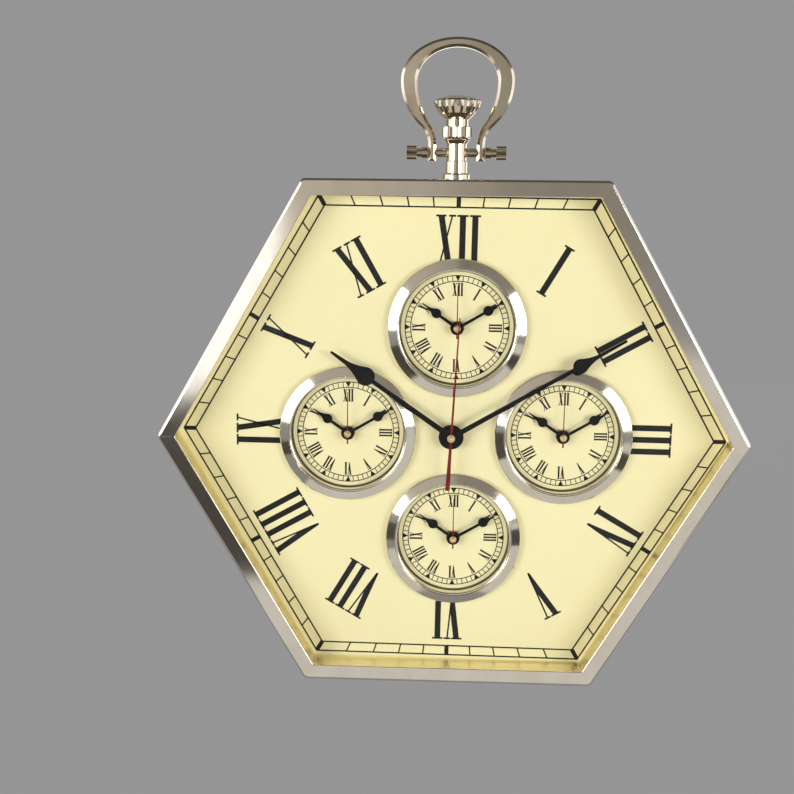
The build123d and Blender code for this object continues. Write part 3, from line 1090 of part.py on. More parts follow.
# Small movements: sealed cases with an open battery bay, stepped bearings and a setting socket
SMALL_FRONT = SMALL_DIAL_BACK
for place, centre in SMALL_CLOCKS.items():
    set_place = (centre[0] + SET_CENTRE[0], centre[1] + SET_CENTRE[1])
    bay_place = (centre[0], centre[1] + (BAY_TOP - WORKS_TOP) / 2)

    with BuildPart() as movement:
        with BuildSketch(facing(SMALL_FRONT - MOVEMENT_DEPTH, centre)):
            RectangleRounded(MOVEMENT_SIZE, MOVEMENT_SIZE, MOVEMENT_CORNER_RADIUS)
        extrude(amount=MOVEMENT_DEPTH)
        with BuildSketch(facing(SMALL_FRONT - MOVEMENT_DEPTH, bay_place)):
            Rectangle(MOVEMENT_SIZE - 2 * MOVEMENT_WALL, BAY_TOP + WORKS_TOP)
        extrude(amount=MOVEMENT_DEPTH - MOVEMENT_WALL, mode=Mode.SUBTRACT)
        with BuildSketch(facing(SMALL_FRONT, centre)):
            Circle(BUSH_RADIUS)
        extrude(amount=BUSH_LENGTH_SMALL)
        bearing_back = 0
        for radius in (HOUR_TUBE_RADIUS, MINUTE_TUBE_RADIUS, SECOND_PIN_RADIUS):
            bearing_back += SMALL_BEARING_LENGTH
            with BuildSketch(facing(SMALL_FRONT - bearing_back, centre)):
                Circle(radius + RUNNING_GAP)
            extrude(amount=bearing_back + BUSH_LENGTH_SMALL, mode=Mode.SUBTRACT)
        with BuildSketch(facing(SMALL_FRONT - MOVEMENT_DEPTH, set_place)):
            Circle(SET_SHAFT_RADIUS + RUNNING_GAP)
        extrude(amount=SMALL_SET_SHAFT_DEPTH, mode=Mode.SUBTRACT)
    keep(movement.part, f"{place}_movement")

    with BuildPart() as small_set_knob:
        knob_front = SMALL_FRONT - MOVEMENT_DEPTH - SET_KNOB_STANDOFF
        with BuildSketch(facing(knob_front, set_place)):
            add(star(SET_KNOB_RIBS, SET_KNOB_RADIUS, SET_KNOB_RIB_DEPTH))
        extrude(amount=-SET_KNOB_LENGTH)
        with BuildSketch(facing(knob_front, set_place)):
            Circle(SET_SHAFT_RADIUS)
        extrude(amount=SMALL_SET_SHAFT_DEPTH + SET_KNOB_STANDOFF - SEAT_GAP)
    keep(small_set_knob.part, f"{place}_set_knob")

    hour_height = DIAL_BACK + HAND_LEVELS_SMALL
    minute_height = hour_height + HAND_STEP_SMALL
    second_height = minute_height + HAND_STEP_SMALL

    with BuildPart() as small_hour_hand:
        tube_back = SMALL_FRONT - SMALL_BEARING_LENGTH + SEAT_GAP
        tube_top = hour_height + SMALL_HAND_THICKNESS + TUBE_STEP
        with BuildSketch(facing(hour_height, centre, HOUR_ANGLE)):
            add(spade(**SMALL_HOUR_BLADE))
            Circle(SMALL_BOSS_RADIUS)
        extrude(amount=SMALL_HAND_THICKNESS)
        with BuildSketch(facing(tube_back, centre)):
            Circle(HOUR_TUBE_RADIUS)
        extrude(amount=tube_top - tube_back)
        with BuildSketch(facing(tube_back, centre)):
            Circle(MINUTE_TUBE_RADIUS + RUNNING_GAP)
        extrude(amount=tube_top - tube_back, mode=Mode.SUBTRACT)
    keep(small_hour_hand.part, f"{place}_hour_hand")

    with BuildPart() as small_minute_hand:
        tube_back = SMALL_FRONT - 2 * SMALL_BEARING_LENGTH + SEAT_GAP
        tube_top = minute_height + SMALL_HAND_THICKNESS + TUBE_STEP
        with BuildSketch(facing(minute_height, centre, MINUTE_ANGLE)):
            add(spade(**SMALL_MINUTE_BLADE))
            Circle(SMALL_BOSS_RADIUS)
        extrude(amount=SMALL_HAND_THICKNESS)
        with BuildSketch(facing(tube_back, centre)):
            Circle(MINUTE_TUBE_RADIUS)
        extrude(amount=tube_top - tube_back)
        with BuildSketch(facing(tube_back, centre)):
            Circle(SECOND_PIN_RADIUS + RUNNING_GAP)
        extrude(amount=tube_top - tube_back, mode=Mode.SUBTRACT)
    keep(small_minute_hand.part, f"{place}_minute_hand")

    with BuildPart() as small_second_hand:
        pin_back = SMALL_FRONT - 3 * SMALL_BEARING_LENGTH + SEAT_GAP
        with BuildSketch(facing(second_height, centre)):
            add(needle(SMALL_SECOND_LENGTH, SMALL_SECOND_TAIL, SMALL_SECOND_ROOT_WIDTH,
                       SMALL_SECOND_TIP_WIDTH, SMALL_SECOND_TAIL_WIDTH))
        extrude(amount=SECOND_THICKNESS)
        with BuildSketch(facing(second_height, centre)):
            Circle(SMALL_CAP_RADIUS)
        extrude(amount=CAP_RISE)
        with BuildSketch(facing(pin_back, centre)):
            Circle(SECOND_PIN_RADIUS)
        extrude(amount=second_height - pin_back)
    keep(small_second_hand.part, f"{place}_second_hand")

# Bush nuts: one on the large dial and one on each small dial
with BuildPart() as dial_nuts:
    for centre in ALL_CENTRES:
        seat = DIAL_FRONT if centre == ALL_CENTRES[0] else DIAL_BACK
        with BuildSketch(facing(seat, centre)):
            RegularPolygon(BUSH_NUT_FLATS / 2, 6, major_radius=False)
            Circle(BUSH_RADIUS + SCREW_GAP, mode=Mode.SUBTRACT)
        extrude(amount=BUSH_NUT_THICKNESS)
keep(dial_nuts.part, "dial_nuts")

# Batteries: one cell in each movement's bay
with BuildPart() as batteries:
    for centre in ALL_CENTRES:
        front = MAIN_FRONT if centre == ALL_CENTRES[0] else SMALL_FRONT
        start = (centre[0] - BATTERY_LENGTH / 2, BATTERY_DEPTH - front, CENTRE_Z + centre[1] - BATTERY_DROP)
        with BuildSketch(Plane(origin=start, x_dir=(0, 1, 0), z_dir=(1, 0, 0))):
            Circle(BATTERY_RADIUS)
        extrude(amount=BATTERY_LENGTH)
        with BuildSketch(Plane(origin=start, x_dir=(0, 1, 0), z_dir=(1, 0, 0)).offset(BATTERY_LENGTH)):
            Circle(BATTERY_NUB_RADIUS)
        extrude(amount=BATTERY_NUB_LENGTH)
keep(batteries.part, "batteries")
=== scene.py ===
"""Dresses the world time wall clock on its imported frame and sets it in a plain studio.

Lengths are metres unless a name ends in _mm. The dial faces -Y, +Z is up, and the origin is on the axis
of the hanging screw. Print is drawn in its own plane, with x to the right, y up and z to the viewer.
"""

import json
import logging
from contextlib import contextmanager
from dataclasses import dataclass, field
from enum import Enum
from math import atan2, cos, pi, radians
from typing import Any, Callable, Iterator, Optional, Union

import bpy
from mathutils import Euler, Matrix, Vector


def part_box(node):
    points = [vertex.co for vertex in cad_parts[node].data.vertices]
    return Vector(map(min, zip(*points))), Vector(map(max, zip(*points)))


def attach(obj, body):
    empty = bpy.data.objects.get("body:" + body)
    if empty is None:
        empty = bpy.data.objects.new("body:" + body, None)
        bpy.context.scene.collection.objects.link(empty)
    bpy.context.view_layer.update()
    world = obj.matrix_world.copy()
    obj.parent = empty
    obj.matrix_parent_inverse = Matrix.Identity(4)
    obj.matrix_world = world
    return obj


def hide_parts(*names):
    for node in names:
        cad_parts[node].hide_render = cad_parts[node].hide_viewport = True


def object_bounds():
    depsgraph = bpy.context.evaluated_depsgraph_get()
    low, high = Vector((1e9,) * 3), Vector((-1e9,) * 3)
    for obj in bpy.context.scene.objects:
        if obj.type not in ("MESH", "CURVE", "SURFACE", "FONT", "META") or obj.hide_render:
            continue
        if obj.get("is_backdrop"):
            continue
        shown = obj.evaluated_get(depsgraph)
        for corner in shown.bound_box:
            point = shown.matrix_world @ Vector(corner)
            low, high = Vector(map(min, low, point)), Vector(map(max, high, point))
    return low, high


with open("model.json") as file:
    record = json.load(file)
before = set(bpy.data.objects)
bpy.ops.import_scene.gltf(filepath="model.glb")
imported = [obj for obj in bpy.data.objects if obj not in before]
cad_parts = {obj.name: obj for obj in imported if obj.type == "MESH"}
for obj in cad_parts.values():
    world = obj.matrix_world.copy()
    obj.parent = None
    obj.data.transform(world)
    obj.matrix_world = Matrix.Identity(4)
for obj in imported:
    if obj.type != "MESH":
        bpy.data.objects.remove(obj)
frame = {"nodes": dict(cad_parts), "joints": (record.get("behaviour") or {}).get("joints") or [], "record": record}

log = logging.getLogger("clock")

MM = 0.001
FULL_TURN = 360.0
HOURS = 12
MINUTES = 60
FIVE_MINUTES = 5
DIAL_SIDES = 6
SIDE_ANGLE = FULL_TURN / DIAL_SIDES
CASE_BODY = "case"
SMALL_PREFIXES = ("top_", "left_", "right_", "bottom_")
NUMERALS = ("I", "II", "III", "IV", "V", "VI", "VII", "VIII", "IX", "X", "XI", "XII")
QUARTER_HOURS = (3, 6, 9, 12)
PRINT_SHIFT = 1.04 * MM
PRINT_TURN = -0.455
MAIN_CAP_RADIUS = 3.0 * MM
SMALL_CAP_RADIUS = 2.7 * MM
CAP_FOOT = 1.2 * MM
LETTER_DEPTH = 0.01
FACING_UP = 0.9
TRIANGLE_HEIGHT = 1.5
TRIANGLE_SIDE = 3**0.5

Piece = bpy.types.Object
Material = bpy.types.Material
Colour = tuple[float, float, float]
Point = tuple[float, float, float]
Range = tuple[float, float]
Number = Union["Wire", float]


class Letter(Enum):
    """The three letters that Roman numerals are set from."""

    I = "I"
    V = "V"
    X = "X"


def axis_of(joint_name: str) -> Vector:
    """The place of a joint's axis, from the frame."""
    joint = next(joint for joint in frame["joints"] if joint["name"] == joint_name)
    return Vector(joint["pos_m"])


def solids_of(node: str) -> list[tuple[Vector, Vector]]:
    """The boxes round the separate solids of a node, which share no corner with each other.

    Args:
        node: The node's name in the frame.

    Returns:
        The lowest and highest corner of each solid.
    """
    mesh = frame["nodes"][node].data
    parents: dict[Point, Point] = {}

    def first_of(corner: Point) -> Point:
        """Finds the corner that stands for a solid.

        Args:
            corner: Any corner of the solid.

        Returns:
            The corner at the top of its tree.
        """
        while parents[corner] != corner:
            parents[corner] = parents[parents[corner]]
            corner = parents[corner]
        return corner

    for face in mesh.polygons:
        corners = [tuple(round(value, 6) for value in mesh.vertices[i].co) for i in face.vertices]
        for corner in corners:
            parents.setdefault(corner, corner)
            parents[first_of(corner)] = first_of(corners[0])
    groups: dict[Point, list[Point]] = {}
    for corner in parents:
        groups.setdefault(first_of(corner), []).append(corner)
    boxes = []
    for group in groups.values():
        low = Vector([min(corner[i] for corner in group) for i in range(3)])
        high = Vector([max(corner[i] for corner in group) for i in range(3)])
        boxes.append((low, high))
    return boxes


class Wire:
    """A value in a node tree. Operators on it add Math nodes and give the value of their result."""

    def __init__(self, recipe: "Recipe", socket: bpy.types.NodeSocket) -> None:
        """Keeps the tree and the output socket that carries the value."""
        self.recipe = recipe
        self.socket = socket

    def __add__(self, other: Number) -> "Wire":
        """self + other"""
        return self.recipe.math("ADD", self, other)

    def __radd__(self, other: Number) -> "Wire":
        """other + self"""
        return self.recipe.math("ADD", other, self)

    def __sub__(self, other: Number) -> "Wire":
        """self - other"""
        return self.recipe.math("SUBTRACT", self, other)

    def __rsub__(self, other: Number) -> "Wire":
        """other - self"""
        return self.recipe.math("SUBTRACT", other, self)

    def __mul__(self, other: Number) -> "Wire":
        """self * other"""
        return self.recipe.math("MULTIPLY", self, other)

    def __rmul__(self, other: Number) -> "Wire":
        """other * self"""
        return self.recipe.math("MULTIPLY", other, self)

    def __pow__(self, other: Number) -> "Wire":
        """self ** other"""
        return self.recipe.math("POWER", self, other)

    def __rpow__(self, other: Number) -> "Wire":
        """other ** self"""
        return self.recipe.math("POWER", other, self)

    def __gt__(self, other: Number) -> "Wire":
        """1 where self is greater than other, else 0"""
        return self.recipe.math("GREATER_THAN", self, other)

    def __lt__(self, other: Number) -> "Wire":
        """1 where self is less than other, else 0"""
        return self.recipe.math("LESS_THAN", self, other)


@dataclass(frozen=True)
class Grain:
    """Noise: its features in a metre, its finer layers, and how much closer it is along x, y and z."""

    scale: float
    detail: float = 3.0
    stretch: Point = (1.0, 1.0, 1.0)


class Recipe:
    """A node tree that is written as calls and expressions."""

    def __init__(self, tree: bpy.types.NodeTree) -> None:
        """Empties the tree.

        Args:
            tree: The node tree of a material or of the world.
        """
        self.nodes = tree.nodes
        self.links = tree.links
        self.nodes.clear()

    def node(
        self,
        kind: str,
        settings: Optional[dict[str, Any]] = None,
        inputs: Optional[dict[Union[str, int], Any]] = None,
        output: Union[str, int] = 0,
    ) -> Wire:
        """Adds a node.

        Args:
            kind: The node's type.
            settings: Its properties, which are set first.
            inputs: Values or wires for its sockets, by name or by number.
            output: The output to return.

        Returns:
            The chosen output.
        """
        made = self.nodes.new(kind)
        for key, value in (settings or {}).items():
            setattr(made, key, value)
        for key, value in (inputs or {}).items():
            if isinstance(value, Wire):
                self.links.new(value.socket, made.inputs[key])
            else:
                made.inputs[key].default_value = value
        return Wire(self, made.outputs[output])

    def end(self, kind: str, shader: Wire) -> None:
        """Adds an output node and links its surface."""
        last = self.nodes.new(kind)
        self.links.new(shader.socket, last.inputs["Surface"])

    def place(self, system: str = "Object") -> Wire:
        """The piece's own coordinates in metres, or those of another system."""
        return self.node("ShaderNodeTexCoord", output=system)

    def coordinate(self, axis: str, system: str = "Object") -> Wire:
        """One of the coordinates X, Y and Z."""
        return self.node("ShaderNodeSeparateXYZ", inputs={0: self.place(system)}, output=axis)

    def noise(self, grain: Grain) -> Wire:
        """Adds noise on the piece's own coordinates.

        Args:
            grain: How fine the noise is and how it is stretched.

        Returns:
            The noise, from 0 to 1.
        """
        spread = self.node("ShaderNodeMapping", inputs={"Vector": self.place(), "Scale": grain.stretch})
        inputs = {"Vector": spread, "Scale": grain.scale, "Detail": grain.detail}
        return self.node("ShaderNodeTexNoise", inputs=inputs)

    def math(self, operation: str, first: Number, second: Number = 0.0) -> Wire:
        """A Math node, for the operators and for what has none."""
        return self.node("ShaderNodeMath", {"operation": operation}, {0: first, 1: second})

    def span(self, value: Number, limits: Range) -> Wire:
        """Maps a value between two limits to 0..1, held at the ends."""
        inputs = {"Value": value, "From Min": limits[0], "From Max": limits[1]}
        return self.node("ShaderNodeMapRange", {"interpolation_type": "SMOOTHSTEP"}, inputs)

    def mix(self, share: Number, first: Union[Wire, Colour], second: Union[Wire, Colour]) -> Wire:
        """Mixes two colours.

        Args:
            share: The second colour's share.
            first: The colour at a share of 0.
            second: The colour at a share of 1.

        Returns:
            The mixed colour.
        """
        colours = [c if isinstance(c, Wire) else (*c, 1.0) for c in (first, second)]
        inputs = {0: share, 6: colours[0], 7: colours[1]}
        return self.node("ShaderNodeMix", {"data_type": "RGBA"}, inputs, output=2)

    def bump(self, height: Wire, depth: float) -> Wire:
        """A normal from a height; depth is the height's full range in metres."""
        return self.node("ShaderNodeBump", inputs={"Height": height, "Distance": depth, "Strength": 1.0})

    def principled(self, **inputs: Any) -> Wire:
        """A Principled BSDF; the inputs' names are its sockets' names with _ for a space."""
        named = {key.replace("_", " "): value for key, value in inputs.items()}
        return self.node("ShaderNodeBsdfPrincipled", inputs=named)


@dataclass(frozen=True)
class Finish:
    """A finish by name; each kind writes its own nodes."""

    name: str

    def shade(self, recipe: Recipe) -> Wire:
        """Writes the finish's nodes.

        Args:
            recipe: The tree to write in.

        Returns:
            Their shader.
        """
        raise NotImplementedError

    def make(self) -> Material:
        """Makes the material.

        Returns:
            The new material.
        """
        material = bpy.data.materials.new(self.name)
        material.use_nodes = True
        recipe = Recipe(material.node_tree)
        recipe.end("ShaderNodeOutputMaterial", self.shade(recipe))
        return material


@dataclass(frozen=True)
class PlatedMetal(Finish):
    """Polished plate: a faintly wavy surface with polishing lines, clouding and small stains."""

    colour: Colour
    cloud: Colour
    roughness: float
    roughness_spread: float = 0.10
    clouding: Grain = Grain(38.0, 4.0)
    clouding_range: Range = (0.30, 0.75)
    clouding_share: float = 0.55
    marks: Grain = Grain(140.0)
    marks_range: Range = (0.62, 0.80)
    marks_share: float = 0.35
    marks_roughness: float = 0.08
    waves: Grain = Grain(22.0, 1.0)
    wave_depth: float = 0.06 * MM
    lines: Grain = Grain(420.0, 3.0, (1.0, 1.0, 12.0))
    line_depth: float = 0.004 * MM

    def relief(self, recipe: Recipe) -> tuple[Wire, Wire]:
        """The polishing lines' height and the dark marks' share, each from 0 to 1."""
        return recipe.noise(self.lines), recipe.span(recipe.noise(self.marks), self.marks_range)

    def shade(self, recipe: Recipe) -> Wire:
        """Writes the plate's nodes.

        Args:
            recipe: The tree to write in.

        Returns:
            The plate's shader.
        """
        clouding = recipe.noise(self.clouding)
        lines, marks = self.relief(recipe)
        clouded = recipe.span(clouding, self.clouding_range) * self.clouding_share
        height = recipe.noise(self.waves) * self.wave_depth + lines * self.line_depth
        return recipe.principled(
            Base_Color=recipe.mix(clouded + marks * self.marks_share, self.colour, self.cloud),
            Metallic=1.0,
            Roughness=self.roughness + clouding * self.roughness_spread + marks * self.marks_roughness,
            Normal=recipe.bump(height, 1.0),
        )


@dataclass(frozen=True)
class MitredPlate(PlatedMetal):
    """Plate of a six-sided case: it is polished along its sides and has a fine seam at each corner."""

    middle: tuple[float, float] = (0.0, 0.0)
    corners: int = DIAL_SIDES
    seam_width: float = 0.5 * MM
    lines_per_metre: float = 2400.0
    streaks_per_metre: float = 40.0
    line_detail: float = 2.0

    def relief(self, recipe: Recipe) -> tuple[Wire, Wire]:
        """The polishing lines along the sides, and the seams.

        Args:
            recipe: The tree to write in.

        Returns:
            The lines' height and the seams' share, each from 0 to 1.
        """
        across = recipe.coordinate("X") - self.middle[0]
        upwards = recipe.coordinate("Z") - self.middle[1]
        reach = (across * across + upwards * upwards) ** 0.5
        corner_step = 2 * pi / self.corners
        steps = recipe.math("ARCTAN2", upwards, across) * (1 / corner_step)
        from_corner = recipe.math("ABSOLUTE", steps - recipe.math("ROUND", steps)) * corner_step
        from_side = reach * recipe.math("COSINE", pi / self.corners - from_corner)
        along = reach * recipe.math("SINE", pi / self.corners - from_corner)
        spread = {0: from_side * self.lines_per_metre, 1: along * self.streaks_per_metre}
        stretched = recipe.node("ShaderNodeCombineXYZ", inputs=spread)
        inputs = {"Vector": stretched, "Scale": 1.0, "Detail": self.line_detail}
        lines = recipe.node("ShaderNodeTexNoise", inputs=inputs)
        seams = 1.0 - recipe.span(reach * from_corner, (0.0, self.seam_width))
        return lines, seams


@dataclass(frozen=True)
class PlainSkin(Finish):
    """A skin of one colour with patches of another and a fine grain; as it stands, moulded plastic."""

    colour: Colour
    patch_colour: Colour
    roughness: float = 0.45
    patches: Grain = Grain(70.0)
    patch_range: Range = (0.40, 0.75)
    patch_share: float = 0.6
    patch_roughness: float = 0.0
    skin: Grain = Grain(2200.0, 2.0)
    skin_roughness: float = 0.12
    skin_depth: float = 0.03 * MM
    specular: float = 0.5

    def shade(self, recipe: Recipe) -> Wire:
        """Writes the skin's nodes.

        Args:
            recipe: The tree to write in.

        Returns:
            The skin's shader.
        """
        skin = recipe.noise(self.skin)
        patches = recipe.span(recipe.noise(self.patches), self.patch_range)
        return recipe.principled(
            Base_Color=recipe.mix(patches * self.patch_share, self.colour, self.patch_colour),
            Roughness=self.roughness + patches * self.patch_roughness + skin * self.skin_roughness,
            Specular_IOR_Level=self.specular,
            Normal=recipe.bump(skin, self.skin_depth),
        )


@dataclass(frozen=True)
class Enamel(PlainSkin):
    """Sprayed enamel on thin metal, with a little orange peel and worn, duller patches."""

    patches: Grain = Grain(90.0, 4.0)
    patch_range: Range = (0.45, 0.75)
    patch_share: float = 0.7
    patch_roughness: float = 0.12
    skin: Grain = Grain(1400.0, 2.0)
    skin_roughness: float = 0.0
    skin_depth: float = 0.02 * MM
    specular: float = 0.10


@dataclass(frozen=True)
class Ink(PlainSkin):
    """Printing ink that lies a little uneven on the card."""

    roughness: float = 0.50
    patches: Grain = Grain(900.0)
    patch_range: Range = (0.45, 0.80)
    patch_share: float = 1.0
    skin: Grain = Grain(900.0)
    skin_roughness: float = 0.15
    skin_depth: float = 0.0
    specular: float = 0.15


@dataclass(frozen=True)
class DialCard(Finish):
    """Printed card: cream with faint clouds, paper fibres and a few foxed specks."""

    colour: Colour
    cloud: Colour
    foxing: Colour
    roughness: float = 0.55
    roughness_spread: float = 0.15
    clouds: Grain = Grain(9.0)
    cloud_range: Range = (0.35, 0.75)
    cloud_share: float = 0.5
    fibres: Grain = Grain(1500.0, 3.0, (1.0, 1.0, 3.0))
    fibre_share: float = 0.12
    fibre_depth: float = 0.01 * MM
    specks: Grain = Grain(260.0, 2.0)
    speck_range: Range = (0.74, 0.84)
    speck_share: float = 0.30

    def shade(self, recipe: Recipe) -> Wire:
        """Writes the card's nodes.

        Args:
            recipe: The tree to write in.

        Returns:
            The card's shader.
        """
        clouds = recipe.span(recipe.noise(self.clouds), self.cloud_range) * self.cloud_share
        fibres = recipe.noise(self.fibres)
        specks = recipe.span(recipe.noise(self.specks), self.speck_range)
        ground = recipe.mix(clouds + fibres * self.fibre_share, self.colour, self.cloud)
        return recipe.principled(
            Base_Color=recipe.mix(specks * self.speck_share, ground, self.foxing),
            Roughness=self.roughness + fibres * self.roughness_spread,
            Normal=recipe.bump(fibres, self.fibre_depth),
        )


@dataclass(frozen=True)
class ClearGlass(Finish):
    """Flat clear glass: light goes straight through, less what the surface reflects."""

    tint: Colour
    head_on: float = 0.006
    grazing: float = 0.60
    slant_power: float = 5.0
    roughness: float = 0.02
    ripple: Grain = Grain(14.0, 1.0)
    ripple_depth: float = 0.03 * MM

    def shade(self, recipe: Recipe) -> Wire:
        """Writes the glass's nodes; both faces of the pane reflect alike, from either side.

        Args:
            recipe: The tree to write in.

        Returns:
            The glass's shader.
        """
        normal = recipe.bump(recipe.noise(self.ripple), self.ripple_depth)
        clear = recipe.node("ShaderNodeBsdfTransparent", inputs={"Color": (*self.tint, 1.0)})
        gloss = recipe.node("ShaderNodeBsdfGlossy", inputs={"Roughness": self.roughness, "Normal": normal})
        slant = recipe.node("ShaderNodeLayerWeight", inputs={"Blend": 0.5}, output="Facing")
        share = self.head_on + slant**self.slant_power * self.grazing
        return recipe.node("ShaderNodeMixShader", inputs={0: share, 1: clear, 2: gloss})


@dataclass(frozen=True)
class Timber(Finish):
    """Wood or fibre board with grain along one axis."""

    colour: Colour
    grain: Colour
    stretch: Point
    ring_scale: float = 60.0
    ring_detail: float = 5.0
    ring_range: Range = (0.35, 0.70)
    ring_share: float = 0.8
    ring_height: float = 0.4
    pore_scale: float = 900.0
    relief: float = 0.2 * MM
    roughness: float = 0.62
    roughness_spread: float = 0.2

    def shade(self, recipe: Recipe) -> Wire:
        """Writes the timber's nodes.

        Args:
            recipe: The tree to write in.

        Returns:
            The timber's shader.
        """
        rings = recipe.noise(Grain(self.ring_scale, self.ring_detail, self.stretch))
        pores = recipe.noise(Grain(self.pore_scale, stretch=self.stretch))
        share = recipe.span(rings, self.ring_range) * self.ring_share + pores * (1.0 - self.ring_share)
        height = rings * self.ring_height + pores * (1.0 - self.ring_height)
        return recipe.principled(
            Base_Color=recipe.mix(share, self.colour, self.grain),
            Roughness=self.roughness + pores * self.roughness_spread,
            Normal=recipe.bump(height, self.relief),
        )


@dataclass(frozen=True)
class Winding(Finish):
    """Enamelled wire in close turns along x, on a steel core, with painted shade in the gaps between the turns."""

    wire: Colour
    painted_gap_shade: Colour
    wave_scale: float = 260.0
    wobble: float = 0.2
    metallic: float = 0.9
    roughness: float = 0.30
    roughness_spread: float = 0.10
    relief: float = 0.1 * MM

    def shade(self, recipe: Recipe) -> Wire:
        """Writes the winding's nodes.

        Args:
            recipe: The tree to write in.

        Returns:
            The winding's shader.
        """
        settings = {"wave_type": "BANDS", "bands_direction": "X"}
        inputs = {"Vector": recipe.place(), "Scale": self.wave_scale, "Distortion": self.wobble}
        turns = recipe.node("ShaderNodeTexWave", settings, inputs, output=1)
        # The darker colour in the grooves between the turns is painted shade.
        return recipe.principled(
            Base_Color=recipe.mix(turns, self.painted_gap_shade, self.wire),
            Metallic=self.metallic,
            Roughness=self.roughness + turns * self.roughness_spread,
            Normal=recipe.bump(turns, self.relief),
        )


@dataclass(frozen=True)
class CellSleeve(Finish):
    """A dry cell's plain printed sleeve between bare metal ends, for cells that lie along x."""

    sleeve: Colour
    band: Colour
    metal: Colour
    boxes: tuple[tuple[Point, Point], ...]
    cap: float = 3.5 * MM
    stripe: float = 11.0 * MM
    margin: float = 1.0 * MM
    scuffs: Grain = Grain(300.0)
    scuff_range: Range = (0.55, 0.85)
    scuff_share: float = 0.3
    metallic: float = 0.9
    roughness: float = 0.28
    roughness_spread: float = 0.15

    def shade(self, recipe: Recipe) -> Wire:
        """Writes the sleeve's nodes.

        Args:
            recipe: The tree to write in.

        Returns:
            The sleeve's shader.
        """
        along = recipe.coordinate("X")
        upwards = recipe.coordinate("Z")
        end: Number = 0.0
        stripe: Number = 0.0
        for low, high in self.boxes:
            level = (upwards > low[2] - self.margin) * (upwards < high[2] + self.margin)
            inside = level * (along > low[0] - self.margin) * (along < high[0] + self.margin)
            right_end = high[0] - self.cap
            end = end + inside * ((along < low[0] + self.cap) + (along > right_end))
            stripe = stripe + inside * (along > right_end - self.stripe)
        scuffs = recipe.noise(self.scuffs)
        printed = recipe.mix(stripe, self.sleeve, self.band)
        bare = recipe.span(scuffs, self.scuff_range) * self.scuff_share
        return recipe.principled(
            Base_Color=recipe.mix(end, recipe.mix(bare, printed, self.metal), self.metal),
            Metallic=end * self.metallic,
            Roughness=self.roughness + scuffs * self.roughness_spread,
        )


def hold(piece: Piece) -> None:
    """Selects one object alone and makes it active.

    Args:
        piece: The object.
    """
    bpy.ops.object.select_all(action="DESELECT")
    piece.select_set(True)
    bpy.context.view_layer.objects.active = piece


@contextmanager
def editing(
    piece: Piece, chosen: Callable[[bpy.types.MeshPolygon], bool] = lambda face: True
) -> Iterator[None]:
    """Edit mode on one object with some of its faces selected, and object mode again after it.

    Args:
        piece: The object.
        chosen: Tells for each face whether it is selected; without it all are.

    Yields:
        Nothing; the steps in between act on the selected faces.
    """
    hold(piece)
    bpy.ops.object.mode_set(mode="EDIT")
    bpy.ops.mesh.select_mode(type="FACE")
    bpy.ops.mesh.select_all(action="DESELECT")
    bpy.ops.object.mode_set(mode="OBJECT")
    for face in piece.data.polygons:
        face.select = chosen(face)
    bpy.ops.object.mode_set(mode="EDIT")
    yield
    bpy.ops.object.mode_set(mode="OBJECT")


def label(piece: Piece, name: str) -> None:
    """Names an object and its mesh."""
    piece.name = name
    piece.data.name = name


def start(name: str) -> Piece:
    """Names the primitive that was just added and applies where it was put.

    Args:
        name: The object's name.

    Returns:
        The object.
    """
    piece = bpy.context.object
    label(piece, name)
    bpy.ops.object.transform_apply(location=True, rotation=True, scale=True)
    return piece


def thicken(piece: Piece, thickness: float) -> None:
    """Gives a flat sheet its thickness, upwards from its plane.

    Args:
        piece: The sheet.
        thickness: How thick it gets.
    """
    hold(piece)
    wall = piece.modifiers.new("thickness", "SOLIDIFY")
    wall.thickness = thickness
    wall.offset = 1.0
    bpy.ops.object.modifier_apply(modifier=wall.name)


def bar(name: str, size: Point, centre: Point, turn: float = 0.0) -> Piece:
    """Makes a flat bar.

    Args:
        name: The object's name.
        size: Its width, length and thickness.
        centre: The middle of its foot.
        turn: How far it leans, clockwise from y, in radians.

    Returns:
        The bar.
    """
    bpy.ops.object.select_all(action="DESELECT")
    middle = (centre[0], centre[1], centre[2] + size[2] / 2)
    bpy.ops.mesh.primitive_cube_add(size=1, location=middle, rotation=(0, 0, -turn))
    bpy.context.object.scale = size
    return start(name)


def ring(name: str, radius: float, width: float, corners: int, thickness: float) -> Piece:
    """Makes a flat ring, round or with straight sides.

    Args:
        name: The object's name.
        radius: From the centre to the outer corners.
        width: The width of its line.
        corners: How many corners it has; one of them is on the x axis.
        thickness: How far it stands off its plane.

    Returns:
        The ring.
    """
    bpy.ops.object.select_all(action="DESELECT")
    bpy.ops.mesh.primitive_circle_add(
        vertices=corners, radius=radius, fill_type="NGON", rotation=(0, 0, -pi / 2)
    )
    piece = start(name)
    with editing(piece):
        bpy.ops.mesh.inset(thickness=width, use_even_offset=True)
        bpy.ops.mesh.delete(type="FACE")
    thicken(piece, thickness)
    return piece


def trim(piece: Piece, point: Point, away: Point) -> None:
    """Cuts off what lies beyond a plane and closes the cut.

    Args:
        piece: The piece to cut.
        point: A point on the plane.
        away: The direction in which everything is cut off.
    """
    with editing(piece):
        bpy.ops.mesh.bisect(plane_co=point, plane_no=away, use_fill=True, clear_outer=True)


def cut(piece: Piece, cutter: Piece) -> None:
    """Takes a cutter's shape out of a piece and removes the cutter.

    Args:
        piece: The piece to cut.
        cutter: The shape to take out.
    """
    hold(piece)
    cutting = piece.modifiers.new("cut", "BOOLEAN")
    cutting.operation = "DIFFERENCE"
    cutting.object = cutter
    bpy.ops.object.modifier_apply(modifier=cutting.name)
    discard(cutter)


